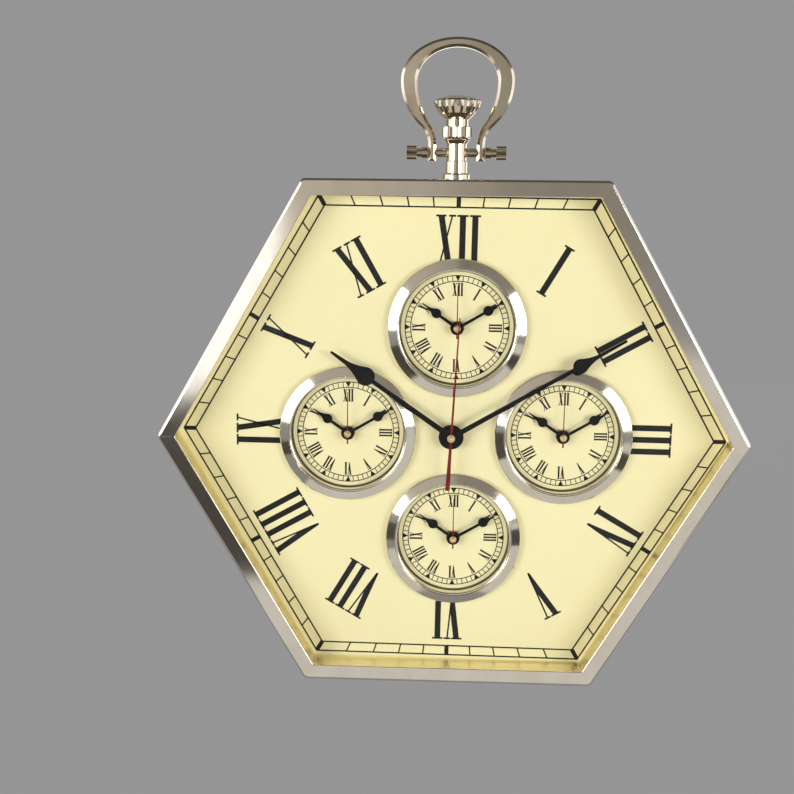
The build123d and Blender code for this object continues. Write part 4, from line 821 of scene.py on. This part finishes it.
def round_edges(piece: Piece, width: float, steps: int, limit: float, smooth: float) -> None:
    """Rounds a piece's edges and shades it smooth.

    Args:
        piece: The piece.
        width: How much of each side the rounding takes.
        steps: How many facets it has.
        limit: The angle from which an edge is rounded, in degrees.
        smooth: The angle up to which faces are shaded as one, in degrees.
    """
    hold(piece)
    rounding = piece.modifiers.new("edge", "BEVEL")
    rounding.width = width
    rounding.segments = steps
    rounding.angle_limit = radians(limit)
    bpy.ops.object.modifier_apply(modifier=rounding.name)
    bpy.ops.object.shade_smooth_by_angle(angle=radians(smooth))


def copy(piece: Piece, matrix: Matrix) -> Piece:
    """Copies a piece with its own mesh.

    Args:
        piece: The piece to copy.
        matrix: What the copy's mesh is moved by.

    Returns:
        The copy.
    """
    twin = piece.copy()
    twin.data = piece.data.copy()
    twin.data.transform(matrix)
    bpy.context.scene.collection.objects.link(twin)
    return twin


def join(name: str, pieces: list[Piece]) -> Piece:
    """Joins pieces into one object.

    Args:
        name: The object's name.
        pieces: The pieces, which are used up.

    Returns:
        The object.
    """
    bpy.ops.object.select_all(action="DESELECT")
    for piece in pieces:
        piece.select_set(True)
    bpy.context.view_layer.objects.active = pieces[0]
    bpy.ops.object.join()
    label(bpy.context.object, name)
    return bpy.context.object


def discard(piece: Piece) -> None:
    """Removes a pattern that copies were taken from."""
    bpy.data.objects.remove(piece, do_unlink=True)


def fit(piece: Piece, finish: Material, body: str) -> None:
    """Dresses a finished piece and seats it on its body.

    Args:
        piece: The piece.
        finish: Its material.
        body: The body that it rides on.
    """
    piece.data.materials.clear()
    piece.data.materials.append(finish)
    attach(piece, body)
    log.info("%s rides on %s with %d faces", piece.name, body, len(piece.data.polygons))


@dataclass
class RomanLetters:
    """The letters I, V and X at a height of one, cut from thick and thin strokes with slab serifs."""

    thickness: float
    stem: float = 0.112
    hairline: float = 0.030
    serif: float = 0.036
    point_width: float = 0.040
    stem_serif: float = 0.205
    hair_serif: float = 0.130
    vee_width: float = 0.350
    cross_width: float = 0.375
    gap: float = 0.020
    vee_point: float = 0.56
    cross_serif: float = 0.92
    serif_depth: float = 0.9
    overlong: float = 1.5
    patterns: dict[Letter, Piece] = field(default_factory=dict)

    def width(self, letter: Letter) -> float:
        """The letter's width, serifs included."""
        return {Letter.I: self.stem_serif, Letter.V: self.vee_width, Letter.X: self.cross_width}[letter]

    def _stroke(self, foot: float, head: float, width: float) -> Piece:
        """Cuts a stroke.

        Args:
            foot: Its x on the line below.
            head: Its x on the line above.
            width: Its width along these lines.

        Returns:
            The stroke, with both ends level.
        """
        lean = atan2(head - foot, 1.0)
        size = (width * cos(lean), self.overlong, self.thickness)
        stroke = bar("stroke", size, ((foot + head) / 2, 0.5, 0.0), lean)
        trim(stroke, (0.0, 0.0, 0.0), (0.0, -1.0, 0.0))
        trim(stroke, (0.0, 1.0, 0.0), (0.0, 1.0, 0.0))
        return stroke

    def _serif(self, centre: float, width: float, top: bool) -> Piece:
        """Cuts a slab serif, a little thinner than the strokes.

        Args:
            centre: The x of its middle.
            width: Its width.
            top: Whether it is on the line above and not on the one below.

        Returns:
            The serif.
        """
        height = 1.0 - self.serif / 2 if top else self.serif / 2
        size = (width, self.serif, self.thickness * self.serif_depth)
        return bar("serif", size, (centre, height, 0.0))

    def cut(self) -> None:
        """Cuts the three letters."""
        middle = self.stem_serif / 2
        stem = [
            self._stroke(middle, middle, self.stem),
            self._serif(middle, self.stem_serif, True),
            self._serif(middle, self.stem_serif, False),
        ]
        self.patterns[Letter.I] = join("letter_I", stem)

        left = self.stem_serif / 2
        right = self.vee_width - self.hair_serif / 2
        point = self.vee_width * self.vee_point
        lean = right - point
        thick = self._stroke(point + (self.stem - self.point_width) / 2, left, self.stem)
        trim(thick, (point + self.point_width / 2, 0.0, 0.0), (1.0, -lean, 0.0))
        vee = [
            thick,
            self._stroke(point + (self.point_width - self.hairline) / 2, right, self.hairline),
            self._serif(left, self.stem_serif, True),
            self._serif(right, self.hair_serif, True),
        ]
        self.patterns[Letter.V] = join("letter_V", vee)

        right = self.cross_width - self.hair_serif / 2
        far = self.cross_width - left
        near = self.cross_width - right
        slab = self.stem_serif * self.cross_serif
        cross = [
            self._stroke(far, left, self.stem),
            self._stroke(near, right, self.hairline),
            self._serif(left, slab, True),
            self._serif(right, self.hair_serif, True),
            self._serif(far, slab, False),
            self._serif(near, self.hair_serif, False),
        ]
        self.patterns[Letter.X] = join("letter_X", cross)

    def set_word(self, word: str, height: float, depth: float) -> Piece:
        """Sets one numeral with its foot on y = 0, centred on x = 0.

        Args:
            word: The numeral's letters.
            height: The letters' height.
            depth: How far the print stands off its plane.

        Returns:
            The numeral.
        """
        letters = [Letter(sign) for sign in word]
        total = sum(self.width(letter) for letter in letters) + self.gap * (len(letters) - 1)
        place = -total / 2
        scale = Matrix.Diagonal((height, height, depth / self.thickness, 1.0))
        pieces = []
        for letter in letters:
            shift = Matrix.Translation((place, 0.0, 0.0))
            pieces.append(copy(self.patterns[letter], scale @ shift))
            place += self.width(letter) + self.gap
        return join("numeral", pieces)

    def clear_away(self) -> None:
        """Removes the patterns."""
        for pattern in self.patterns.values():
            discard(pattern)
        self.patterns.clear()


@dataclass
class PrintPlane:
    """Where a dial's print lies."""

    centre: Vector
    turn: float = 0.0

    def matrix(self) -> Matrix:
        """From the print's own plane to the frame."""
        upright = Matrix.Rotation(pi / 2, 4, "X")
        return Matrix.Translation(self.centre) @ upright @ Matrix.Rotation(radians(self.turn), 4, "Z")


def clockwise(angle: float) -> Matrix:
    """A turn in the print's plane, clockwise from twelve, in degrees."""
    return Matrix.Rotation(radians(-angle), 4, "Z")


def lay_copies(
    pattern: Piece,
    planes: dict[str, PrintPlane],
    kind: str,
    finish: Material,
    body: Optional[str] = None,
) -> None:
    """Lays a copy of a pattern on each clock and removes the pattern.

    Args:
        pattern: The piece, drawn in its own plane.
        planes: Where the copies lie, by the prefix of each clock's names.
        kind: The part of the copies' names that follows the prefix.
        finish: The copies' material.
        body: The part of the bodies' names that follows the prefix; without it the case carries them.
    """
    for prefix, plane in planes.items():
        piece = copy(pattern, plane.matrix())
        label(piece, prefix + kind)
        fit(piece, finish, CASE_BODY if body is None else prefix + body)
    discard(pattern)


@dataclass
class DialPrint:
    """What the prints of the large dial and of the small ones share."""

    letters: RomanLetters
    ink: Material
    depth: float
    numeral_foot: float
    numeral_height: float
    tick_depth: float = 0.9

    def numerals(self, hidden: tuple[int, ...] = (), below: float = 0.0) -> list[Piece]:
        """Sets the twelve numerals round the dial.

        Args:
            hidden: The hours whose numerals lie partly under a bezel.
            below: How far from the centre these are cut off.

        Returns:
            One object for each numeral.
        """
        pieces = []
        for hour, word in enumerate(NUMERALS, start=1):
            numeral = self.letters.set_word(word, self.numeral_height, self.depth)
            numeral.data.transform(Matrix.Translation((0.0, self.numeral_foot, 0.0)))
            if hour in hidden:
                trim(numeral, (0.0, below, 0.0), (0.0, -1.0, 0.0))
            numeral.data.transform(clockwise(hour * FULL_TURN / HOURS))
            pieces.append(numeral)
        return pieces


@dataclass
class MainDial(DialPrint):
    """The large dial's print: a six-sided minute track and twelve upright numerals."""

    depth: float = 0.09 * MM
    track_outer: float = 185.5 * MM
    track_inner: float = 177.6 * MM
    line: float = 1.2 * MM
    tick: float = 1.1 * MM
    numeral_foot: float = 130.0 * MM
    numeral_height: float = 42.0 * MM
    five_minute_tick: float = 3.4 * MM
    hidden_below: float = 133.0 * MM

    @staticmethod
    def _side_distance(apothem: float, angle: float) -> float:
        """How far a six-sided line is from the centre at an angle clockwise from twelve."""
        from_middle = (angle + SIDE_ANGLE / 2) % SIDE_ANGLE - SIDE_ANGLE / 2
        return apothem / cos(radians(from_middle))

    def build_track(self) -> Piece:
        """Draws the two lines of the minute track and its sixty ticks.

        Returns:
            The track.
        """
        pieces = []
        for apothem in (self.track_outer, self.track_inner):
            radius = (apothem + self.line / 2) / cos(pi / DIAL_SIDES)
            pieces.append(ring("line", radius, self.line, DIAL_SIDES, self.depth))
        for minute in range(MINUTES):
            angle = minute * FULL_TURN / MINUTES
            wide = self.five_minute_tick if minute % FIVE_MINUTES == 0 else self.tick
            near = self._side_distance(self.track_inner, angle)
            far = self._side_distance(self.track_outer, angle)
            size = (wide, far - near, self.depth * self.tick_depth)
            mark = bar("tick", size, (0.0, (near + far) / 2, 0.0))
            mark.data.transform(clockwise(angle))
            pieces.append(mark)
        return join("main_minute_track", pieces)

    def build(self, plane: PrintPlane) -> None:
        """Draws the print and lays it on the dial.

        Args:
            plane: Where the large dial's print lies.
        """
        track = self.build_track()
        numerals = join("main_numerals", self.numerals(QUARTER_HOURS, self.hidden_below))
        for piece in (track, numerals):
            piece.data.transform(plane.matrix())
            fit(piece, self.ink, CASE_BODY)


@dataclass
class SmallDial(DialPrint):
    """A small clock's print: a round minute track with pointers, and twelve numerals."""

    depth: float = 0.06 * MM
    track_outer: float = 40.6 * MM
    track_inner: float = 36.2 * MM
    line: float = 0.70 * MM
    tick: float = 0.60 * MM
    numeral_foot: float = 24.8 * MM
    numeral_height: float = 10.2 * MM
    pointer: float = 4.4 * MM
    round_corners: int = 120

    def build_track(self) -> list[Piece]:
        """Draws the round lines, the ticks between them and a pointer at each five minutes.

        Returns:
            The track's pieces.
        """
        pieces = []
        for middle in (self.track_outer, self.track_inner):
            radius = middle + self.line / 2
            pieces.append(ring("line", radius, self.line, self.round_corners, self.depth))
        size = (self.tick, self.track_outer - self.track_inner, self.depth * self.tick_depth)
        tick = bar("tick", size, (0.0, (self.track_outer + self.track_inner) / 2, 0.0))
        pointer = self._pointer()
        for minute in range(MINUTES):
            pattern = tick if minute % FIVE_MINUTES else pointer
            pieces.append(copy(pattern, clockwise(minute * FULL_TURN / MINUTES)))
        discard(tick)
        discard(pointer)
        return pieces

    def _pointer(self) -> Piece:
        """Cuts a three-cornered mark that fills the track and points to the centre.

        Returns:
            The mark.
        """
        bpy.ops.object.select_all(action="DESELECT")
        bpy.ops.mesh.primitive_circle_add(vertices=3, radius=1.0, fill_type="NGON", rotation=(0, 0, pi))
        piece = start("pointer")
        rise = (self.track_outer - self.track_inner) / TRIANGLE_HEIGHT
        piece.data.transform(Matrix.Diagonal((self.pointer / TRIANGLE_SIDE, rise, 1.0, 1.0)))
        piece.data.transform(Matrix.Translation((0.0, self.track_inner + rise, 0.0)))
        thicken(piece, self.depth)
        return piece

    def build(self, planes: dict[str, PrintPlane]) -> None:
        """Draws the print once and lays a copy on each small dial."""
        pattern = join("small_print", self.build_track() + self.numerals())
        lay_copies(pattern, planes, "print", self.ink)


@dataclass
class HandCap:
    """A turned brass cap over the end of a seconds arbor, with a dimple in its face."""

    radius: float
    brass: Material
    rise: float = 1.9 * MM
    corners: int = 40
    edge: float = 0.25 * MM
    edge_steps: int = 3
    edge_limit: float = 25.0
    smooth_angle: float = 40.0
    dimple: float = 0.40
    dimple_slope: float = 0.4
    dimple_depth: float = 0.25

    def build(self, planes: dict[str, PrintPlane]) -> None:
        """Turns the cap once and sets a copy on each seconds hand.

        Args:
            planes: Where the caps' undersides lie, by the prefix of each clock's names.
        """
        bpy.ops.object.select_all(action="DESELECT")
        bpy.ops.mesh.primitive_cylinder_add(
            vertices=self.corners, radius=self.radius, depth=self.rise, location=(0, 0, self.rise / 2)
        )
        pattern = start("cap")
        slope = self.radius * self.dimple * self.dimple_slope
        with editing(pattern, lambda face: face.normal.z > FACING_UP):
            bpy.ops.mesh.inset(thickness=self.radius * (1.0 - self.dimple))
            bpy.ops.mesh.inset(thickness=slope, depth=-self.rise * self.dimple_depth)
        round_edges(pattern, self.edge, self.edge_steps, self.edge_limit, self.smooth_angle)
        lay_copies(pattern, planes, "hand_cap", self.brass, "seconds")


@dataclass
class BackScrew:
    """A countersunk wood screw with a cross recess, its head's face on z = 0 and its point below."""

    head: float = 3.4 * MM
    shank: float = 1.6 * MM
    point: float = 0.5 * MM
    taper: float = 1.2 * MM
    recess_length: float = 4.0 * MM
    recess_width: float = 1.1 * MM
    recess_depth: float = 1.2 * MM
    corners: int = 32
    smooth_angle: float = 35.0

    def _cross(self) -> Piece:
        """Makes the cross that cuts the recess, half of it above the head's face.

        Returns:
            The cross.
        """
        size = (self.recess_width, self.recess_width, self.recess_depth * 2)
        cross = bar("cutter", size, (0.0, 0.0, -self.recess_depth))
        arm = (self.recess_length - self.recess_width) / 2
        with editing(cross, lambda face: abs(face.normal.z) < FACING_UP):
            bpy.ops.mesh.extrude_faces_move(TRANSFORM_OT_shrink_fatten={"value": arm})
        return cross

    def build(self, length: float) -> Piece:
        """Turns a screw and cuts its recess.

        Args:
            length: From the head's face to the point.

        Returns:
            The screw, with the middle of its head's face on the origin.
        """
        bpy.ops.object.select_all(action="DESELECT")
        bpy.ops.mesh.primitive_circle_add(vertices=self.corners, radius=self.head, fill_type="NGON")
        screw = start("screw")
        sink = self.head - self.shank
        straight = length - sink - self.taper
        depth = 0.0
        radius = self.head
        with editing(screw):
            for drop, narrow in ((sink, self.shank), (straight, self.shank), (self.taper, self.point)):
                depth += drop
                bpy.ops.mesh.extrude_region_move(TRANSFORM_OT_translate={"value": (0, 0, -drop)})
                shrink = narrow / radius
                bpy.ops.transform.resize(value=(shrink, shrink, 1.0), center_override=(0, 0, -depth))
                radius = narrow
            bpy.ops.mesh.select_all(action="SELECT")
            bpy.ops.mesh.normals_make_consistent(inside=False)
        cut(screw, self._cross())
        bpy.ops.object.shade_smooth_by_angle(angle=radians(self.smooth_angle))
        return screw

    def replace_all(self, node: str, steel: Material) -> None:
        """Puts a modelled screw in the place of each plain one.

        Args:
            node: The frame's node that holds the plain screws.
            steel: The screws' finish.
        """
        facing_wall = Matrix.Rotation(-pi / 2, 4, "X")
        patterns: dict[int, Piece] = {}
        screws = []
        for low, high in solids_of(node):
            length = high.y - low.y
            size = round(length / MM)
            if size not in patterns:
                patterns[size] = self.build(length)
            place = Vector(((low.x + high.x) / 2, high.y, (low.z + high.z) / 2))
            screws.append(copy(patterns[size], Matrix.Translation(place) @ facing_wall))
        for pattern in patterns.values():
            discard(pattern)
        log.info("%d screws take the place of %s", len(screws), node)
        piece = join("cross_screws", screws)
        fit(piece, steel, CASE_BODY)
        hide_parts(node)


@dataclass
class SealAndShadowRing:
    """The dark ring between a small clock's dial and its bezel: a seal round the glass, whose dark olive is also
    painted shadow of the bezel on the dial's edge.
    """

    seal_shadow_finish: Material
    outer: float = 44.75 * MM
    width: float = 0.85 * MM
    rise: float = 0.8 * MM
    corners: int = 96
    edge: float = 0.2 * MM
    edge_steps: int = 2
    edge_limit: float = 40.0
    smooth_angle: float = 50.0

    def build(self, planes: dict[str, PrintPlane]) -> None:
        """Makes the ring once and sets a copy on each small dial.

        Args:
            planes: Where each small clock's dial lies.
        """
        pattern = ring("seal_and_shadow", self.outer, self.width, self.corners, self.rise)
        round_edges(pattern, self.edge, self.edge_steps, self.edge_limit, self.smooth_angle)
        lay_copies(pattern, planes, "seal_and_shadow_ring", self.seal_shadow_finish)


FINISHES: tuple[tuple[str, Finish], ...] = (
    ("nickel", PlatedMetal("warm_nickel", (0.82, 0.77, 0.69), (0.72, 0.65, 0.55), 0.04, 0.06)),
    ("gilt", PlatedMetal("gilt_band", (0.98, 0.89, 0.60), (0.95, 0.84, 0.52), 0.34)),
    ("brass", PlatedMetal("turned_brass", (0.80, 0.62, 0.34), (0.62, 0.45, 0.22), 0.24)),
    ("glass", ClearGlass("clear_glass", (0.985, 0.99, 0.985))),
    ("dial_card", DialCard("cream_card", (0.90, 0.82, 0.49), (0.86, 0.77, 0.44), (0.60, 0.47, 0.24))),
    ("hand_black", Enamel("black_enamel", (0.006, 0.006, 0.006), (0.012, 0.011, 0.010), 0.40)),
    ("hand_red", Enamel("red_enamel", (0.16, 0.012, 0.012), (0.24, 0.03, 0.02), 0.34)),
    ("back_board", Timber("stained_board", (0.085, 0.048, 0.026), (0.034, 0.019, 0.011), (0.10, 1.0, 1.0))),
    ("block_wood", Timber("bare_wood", (0.55, 0.38, 0.20), (0.40, 0.25, 0.11), (1.0, 1.0, 8.0))),
    ("steel", PlatedMetal("zinc_steel", (0.62, 0.63, 0.64), (0.50, 0.50, 0.48), 0.30)),
    ("movement_plastic", PlainSkin("black_moulding", (0.018, 0.018, 0.019), (0.030, 0.030, 0.030))),
    ("knob_plastic", PlainSkin("white_moulding", (0.80, 0.79, 0.74), (0.70, 0.68, 0.60))),
    ("wheel_plastic", PlainSkin("natural_moulding", (0.82, 0.79, 0.68), (0.74, 0.69, 0.55))),
    ("magnet", PlatedMetal("ground_magnet", (0.20, 0.20, 0.21), (0.13, 0.12, 0.12), 0.38)),
    ("copper_coil", Winding("copper_winding", (0.72, 0.30, 0.13), (0.22, 0.07, 0.03))),
    (
        "circuit",
        PlainSkin("green_laminate", (0.02, 0.13, 0.05), (0.04, 0.20, 0.07), 0.35, skin=Grain(700.0, 2.0)),
    ),
)

CASE_MIDDLE = axis_of("second_spin")
CASE_PLATE = MitredPlate(
    "mitred_nickel",
    (0.82, 0.77, 0.69),
    (0.70, 0.63, 0.53),
    0.06,
    0.08,
    middle=(CASE_MIDDLE.x, CASE_MIDDLE.z),
)
WARM_PLATE = PlatedMetal("champagne_nickel", (0.76, 0.69, 0.55), (0.58, 0.48, 0.34), 0.05, 0.06)
BOW_PLATE = PlatedMetal("brushed_champagne", (0.84, 0.77, 0.64), (0.44, 0.36, 0.26), 0.11, 0.08)
AGED_PLATE = PlatedMetal("aged_nickel", (0.62, 0.53, 0.40), (0.40, 0.32, 0.22), 0.14)
NODE_FINISHES: tuple[tuple[tuple[str, ...], Finish], ...] = (
    (("case_shell",), CASE_PLATE),
    (("pendant_neck", "neck_collar", "crown"), WARM_PLATE),
    (("bow",), BOW_PLATE),
    (("bow_pin", "bow_nuts"), AGED_PLATE),
)


@dataclass
class Wardrobe:
    """The materials by the record's slots."""

    materials: dict[str, Material] = field(default_factory=dict)

    def fill(self, cells: list[tuple[Vector, Vector]]) -> None:
        """Makes every finish.

        Args:
            cells: The boxes round the dry cells.
        """
        for slot, finish in FINISHES:
            self.materials[slot] = finish.make()
        ends = tuple((low.to_tuple(), high.to_tuple()) for low, high in cells)
        sleeve = CellSleeve("cell_sleeve", (0.03, 0.05, 0.10), (0.55, 0.34, 0.10), (0.62, 0.62, 0.60), ends)
        self.materials["battery"] = sleeve.make()
        # The seal ring's dark olive is partly its own colour and partly painted shadow of the bezel on the dial's
        # edge.
        seal_and_shadow = PlainSkin("olive_seal_painted_shadow", (0.11, 0.10, 0.055), (0.16, 0.14, 0.08), 0.55)
        self.materials["seal_and_shadow"] = seal_and_shadow.make()
        self.materials["ink"] = Ink("dial_ink", (0.012, 0.012, 0.013), (0.030, 0.029, 0.027)).make()

    def dress_nodes(self, nodes: dict[str, Piece], subparts: list[dict[str, Any]]) -> None:
        """Gives every node of the frame its finish.

        Args:
            nodes: The frame's nodes by name.
            subparts: The record's list of nodes and their slots.
        """
        for subpart in subparts:
            self._dress(nodes[subpart["node"]], self.materials[subpart["material_slot"]])
        for names, finish in NODE_FINISHES:
            material = finish.make()
            for name in names:
                self._dress(nodes[name], material)

    @staticmethod
    def _dress(node: Piece, material: Material) -> None:
        """Gives a node one material."""
        node.data.materials.clear()
        node.data.materials.append(material)


class RayKind(Enum):
    """The rays that see the plain background tone."""

    CAMERA = "Is Camera Ray"
    GLOSSY = "Is Glossy Ray"
    TRANSMISSION = "Is Transmission Ray"


@dataclass(frozen=True)
class BackdropPaper(Finish):
    """Paper, card or felt of the studio: matt, with an even tone to the camera and to reflections."""

    paper: Colour
    tone: Colour
    evenness: float = 0.985
    fibres: Grain = Grain(60.0, 4.0)
    fibre_share: float = 0.10

    def shade(self, recipe: Recipe) -> Wire:
        """Writes the paper's nodes.

        Args:
            recipe: The tree to write in.

        Returns:
            The paper's shader.
        """
        colour = recipe.mix(recipe.noise(self.fibres) * self.fibre_share, self.paper, self.tone)
        matt = recipe.node("ShaderNodeBsdfDiffuse", inputs={"Color": colour})
        glow = recipe.node("ShaderNodeEmission", inputs={"Color": (*self.tone, 1.0), "Strength": 1.0})
        seen = recipe.node("ShaderNodeLightPath", output=RayKind.CAMERA.value)
        for kind in (RayKind.GLOSSY, RayKind.TRANSMISSION):
            seen = seen + recipe.node("ShaderNodeLightPath", output=kind.value)
        inputs = {0: seen * self.evenness, 1: matt, 2: glow}
        return recipe.node("ShaderNodeMixShader", inputs=inputs)


@dataclass(frozen=True)
class SoftBox:
    """A large soft lamp."""

    name: str
    place: Point
    aim: Point
    width: float
    height: float
    power: float
    reflected: bool = True

    def build(self) -> None:
        """Hangs the lamp and turns it to its aim."""
        bpy.ops.object.select_all(action="DESELECT")
        bpy.ops.object.light_add(type="AREA", location=self.place)
        lamp = bpy.context.object
        lamp.name = self.name
        lamp.data.shape = "RECTANGLE"
        lamp.data.size = self.width
        lamp.data.size_y = self.height
        lamp.data.energy = self.power
        away = Vector(self.place) - Vector(self.aim)
        lamp.rotation_euler = away.to_track_quat("Z", "Y").to_euler()
        lamp.visible_camera = False
        lamp.visible_glossy = self.reflected


@dataclass(frozen=True)
class FloorCard:
    """A card or felt in front of the clock, out of the camera's sight, for the metal to reflect."""

    name: str
    centre: tuple[float, float]
    size: tuple[float, float]
    turn: float
    lift: float
    finish: BackdropPaper
    thickness: float = 0.002

    def build(self, floor: float) -> None:
        """Lays the card on the floor.

        Args:
            floor: The floor's height.
        """
        bpy.ops.object.select_all(action="DESELECT")
        place = (*self.centre, floor + self.lift)
        bpy.ops.mesh.primitive_plane_add(size=1.0, location=place, rotation=(0, 0, radians(self.turn)))
        bpy.context.object.scale = (*self.size, 1.0)
        card = start(self.name)
        thicken(card, self.thickness)
        card.data.materials.append(self.finish.make())
        card.visible_camera = False
        card.visible_shadow = False
        card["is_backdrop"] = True


@dataclass
class Studio:
    """The camera, the seamless paper and the light."""

    clock_low: Vector
    clock_high: Vector
    camera_place: Point = (-0.006873, -0.887449, 0.044397)
    camera_turn: Point = (79.1562, -0.5593, 2.5235)
    lens_mm: float = 50.349
    sensor_mm: float = 36.0
    floor_drop: float = 0.060
    paper_half: float = 5.0
    paper_back: float = 3.0
    paper_rise: float = 5.0
    paper_bend: float = 1.2
    tone: Colour = (0.303, 0.302, 0.304)
    paper: Colour = (0.62, 0.62, 0.62)
    card_tone: Colour = (0.68, 0.66, 0.62)
    felt_tone: Colour = (0.07, 0.066, 0.06)
    room_left: Colour = (0.52, 0.48, 0.42)
    room_right: Colour = (0.28, 0.26, 0.23)
    ceiling: Colour = (0.10, 0.09, 0.075)
    wall_range: Range = (-0.06, 0.08)
    ceiling_range: Range = (0.30, 0.80)
    bend_steps: int = 16
    near_clip: float = 0.01

    def build_camera(self) -> None:
        """Sets the camera where the photograph was taken from."""
        bpy.ops.object.select_all(action="DESELECT")
        turn = Euler([radians(angle) for angle in self.camera_turn], "XYZ")
        bpy.ops.object.camera_add(location=self.camera_place, rotation=turn)
        camera = bpy.context.object
        camera.name = "photograph_camera"
        camera.data.lens = self.lens_mm
        camera.data.sensor_width = self.sensor_mm
        camera.data.clip_start = self.near_clip
        bpy.context.scene.camera = camera

    def build_paper(self) -> None:
        """Rolls the paper out below the clock and up behind it."""
        bpy.ops.object.select_all(action="DESELECT")
        floor = self.clock_low.z - self.floor_drop
        bpy.ops.mesh.primitive_plane_add(size=2.0, location=(0, 0, floor))
        bpy.context.object.scale = (self.paper_half, self.paper_half, 1.0)
        paper = start("seamless_paper")
        for edge in paper.data.edges:
            edge.select = all(paper.data.vertices[i].co.y > 0 for i in edge.vertices)
        for vertex in paper.data.vertices:
            vertex.select = vertex.co.y > 0
        for face in paper.data.polygons:
            face.select = False
        bpy.ops.object.mode_set(mode="EDIT")
        bpy.ops.mesh.select_mode(type="EDGE")
        bpy.ops.transform.translate(value=(0, self.paper_back - self.paper_half, 0))
        bpy.ops.mesh.extrude_region_move(TRANSFORM_OT_translate={"value": (0, 0, self.paper_rise)})
        bpy.ops.object.mode_set(mode="OBJECT")
        bend = paper.modifiers.new("bend", "BEVEL")
        bend.width = self.paper_bend
        bend.segments = self.bend_steps
        bpy.ops.object.modifier_apply(modifier=bend.name)
        bpy.ops.object.shade_smooth()
        finish = BackdropPaper("grey_paper", self.paper, self.tone)
        paper.data.materials.append(finish.make())
        paper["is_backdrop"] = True

    def build_cards(self) -> None:
        """Lays a pale card in front of the clock and a dark felt on each side of it."""
        pale = BackdropPaper("pale_card", (0.80, 0.79, 0.77), self.card_tone)
        dark = BackdropPaper("dark_felt", (0.03, 0.03, 0.03), self.felt_tone)
        cards = (
            FloorCard("pale_card", (0.27, -1.22), (1.06, 2.16), 0.0, 0.001, pale),
            FloorCard("left_felt", (-0.43, -0.93), (0.46, 0.98), 0.0, 0.004, dark),
            FloorCard("right_felt", (0.48, -0.55), (0.22, 0.42), 22.0, 0.004, dark),
        )
        for card in cards:
            card.build(self.clock_low.z - self.floor_drop)

    def build_light(self) -> None:
        """Hangs the soft boxes and fills the room with soft light, darker towards the ceiling."""
        middle = tuple((self.clock_low + self.clock_high) / 2)
        boxes = (
            SoftBox("left_box", (-1.36, -1.58, 0.04), middle, 1.04, 0.78, 21.5),
            SoftBox("right_box", (1.36, -1.58, -0.02), middle, 1.04, 0.76, 20.5),
            SoftBox("left_panel", (-1.60, -0.30, 0.25), (0.0, 0.0, 0.10), 1.50, 1.30, 6.0),
            SoftBox("right_panel", (1.60, -0.30, 0.25), (0.0, 0.0, 0.10), 1.50, 1.30, 6.0),
            SoftBox("back_box", (0.80, 1.70, -0.03), middle, 2.20, 0.62, 5.5),
            SoftBox("back_fill", (0.50, 1.70, 0.70), middle, 1.40, 1.20, 9.0, reflected=False),
            SoftBox("left_card", (-0.50, -1.56, -0.19), middle, 0.30, 0.42, 0.44),
        )
        for box in boxes:
            box.build()
        world = bpy.data.worlds.new("studio_room")
        world.use_nodes = True
        bpy.context.scene.world = world
        recipe = Recipe(world.node_tree)
        across = recipe.span(recipe.coordinate("X", "Generated"), self.wall_range)
        upwards = recipe.span(recipe.coordinate("Z", "Generated"), self.ceiling_range)
        room = recipe.mix(upwards, recipe.mix(across, self.room_left, self.room_right), self.ceiling)
        seen = recipe.node("ShaderNodeLightPath", output=RayKind.CAMERA.value)
        tone = recipe.mix(seen, room, self.tone)
        recipe.end("ShaderNodeOutputWorld", recipe.node("ShaderNodeBackground", inputs={"Color": tone}))

    def build(self) -> None:
        """Builds the studio."""
        self.build_camera()
        self.build_paper()
        self.build_cards()
        self.build_light()
        bpy.context.scene.view_settings.view_transform = "Standard"


def print_planes() -> tuple[PrintPlane, dict[str, PrintPlane]]:
    """Where the large print and the four small prints lie.

    Returns:
        The large dial's plane, and the small dials' planes by the prefix of their clock's names.
    """
    centre = axis_of("second_spin")
    centre.x += PRINT_SHIFT
    centre.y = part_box("dial_plate")[0].y
    small_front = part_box("small_dials")[0].y
    small = {}
    for prefix in SMALL_PREFIXES:
        place = axis_of(f"{prefix}second_spin")
        place.y = small_front
        small[prefix] = PrintPlane(place)
    return PrintPlane(centre, PRINT_TURN), small


def cap_hands(brass: Material) -> None:
    """Puts a cap on each seconds hand.

    Args:
        brass: The caps' finish.
    """
    for radius, prefixes in ((MAIN_CAP_RADIUS, ("",)), (SMALL_CAP_RADIUS, SMALL_PREFIXES)):
        planes = {}
        for prefix in prefixes:
            foot = axis_of(f"{prefix}second_spin")
            foot.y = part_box(f"{prefix}second_hand")[0].y + CAP_FOOT
            planes[prefix] = PrintPlane(foot)
        HandCap(radius, brass).build(planes)


def main() -> None:
    """Dresses the clock, piece by piece, and builds the studio round it."""
    logging.basicConfig(level=logging.INFO, format="%(name)s: %(message)s")
    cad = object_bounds()
    studio = Studio(*cad)
    studio.build()

    wardrobe = Wardrobe()
    wardrobe.fill(solids_of("batteries"))
    wardrobe.dress_nodes(frame["nodes"], frame["record"]["subparts"])

    main_plane, small_planes = print_planes()
    ink = wardrobe.materials["ink"]
    letters = RomanLetters(LETTER_DEPTH)
    bold = RomanLetters(LETTER_DEPTH, stem=0.135, hairline=0.046, serif=0.050, point_width=0.060)
    for fount in (letters, bold):
        fount.cut()
    MainDial(letters, ink).build(main_plane)
    SmallDial(bold, ink).build(small_planes)
    SealAndShadowRing(wardrobe.materials["seal_and_shadow"]).build(small_planes)
    for fount in (letters, bold):
        fount.clear_away()
    cap_hands(wardrobe.materials["brass"])
    BackScrew().replace_all("back_screws", wardrobe.materials["steel"])


if __name__ == "__main__":
    main()
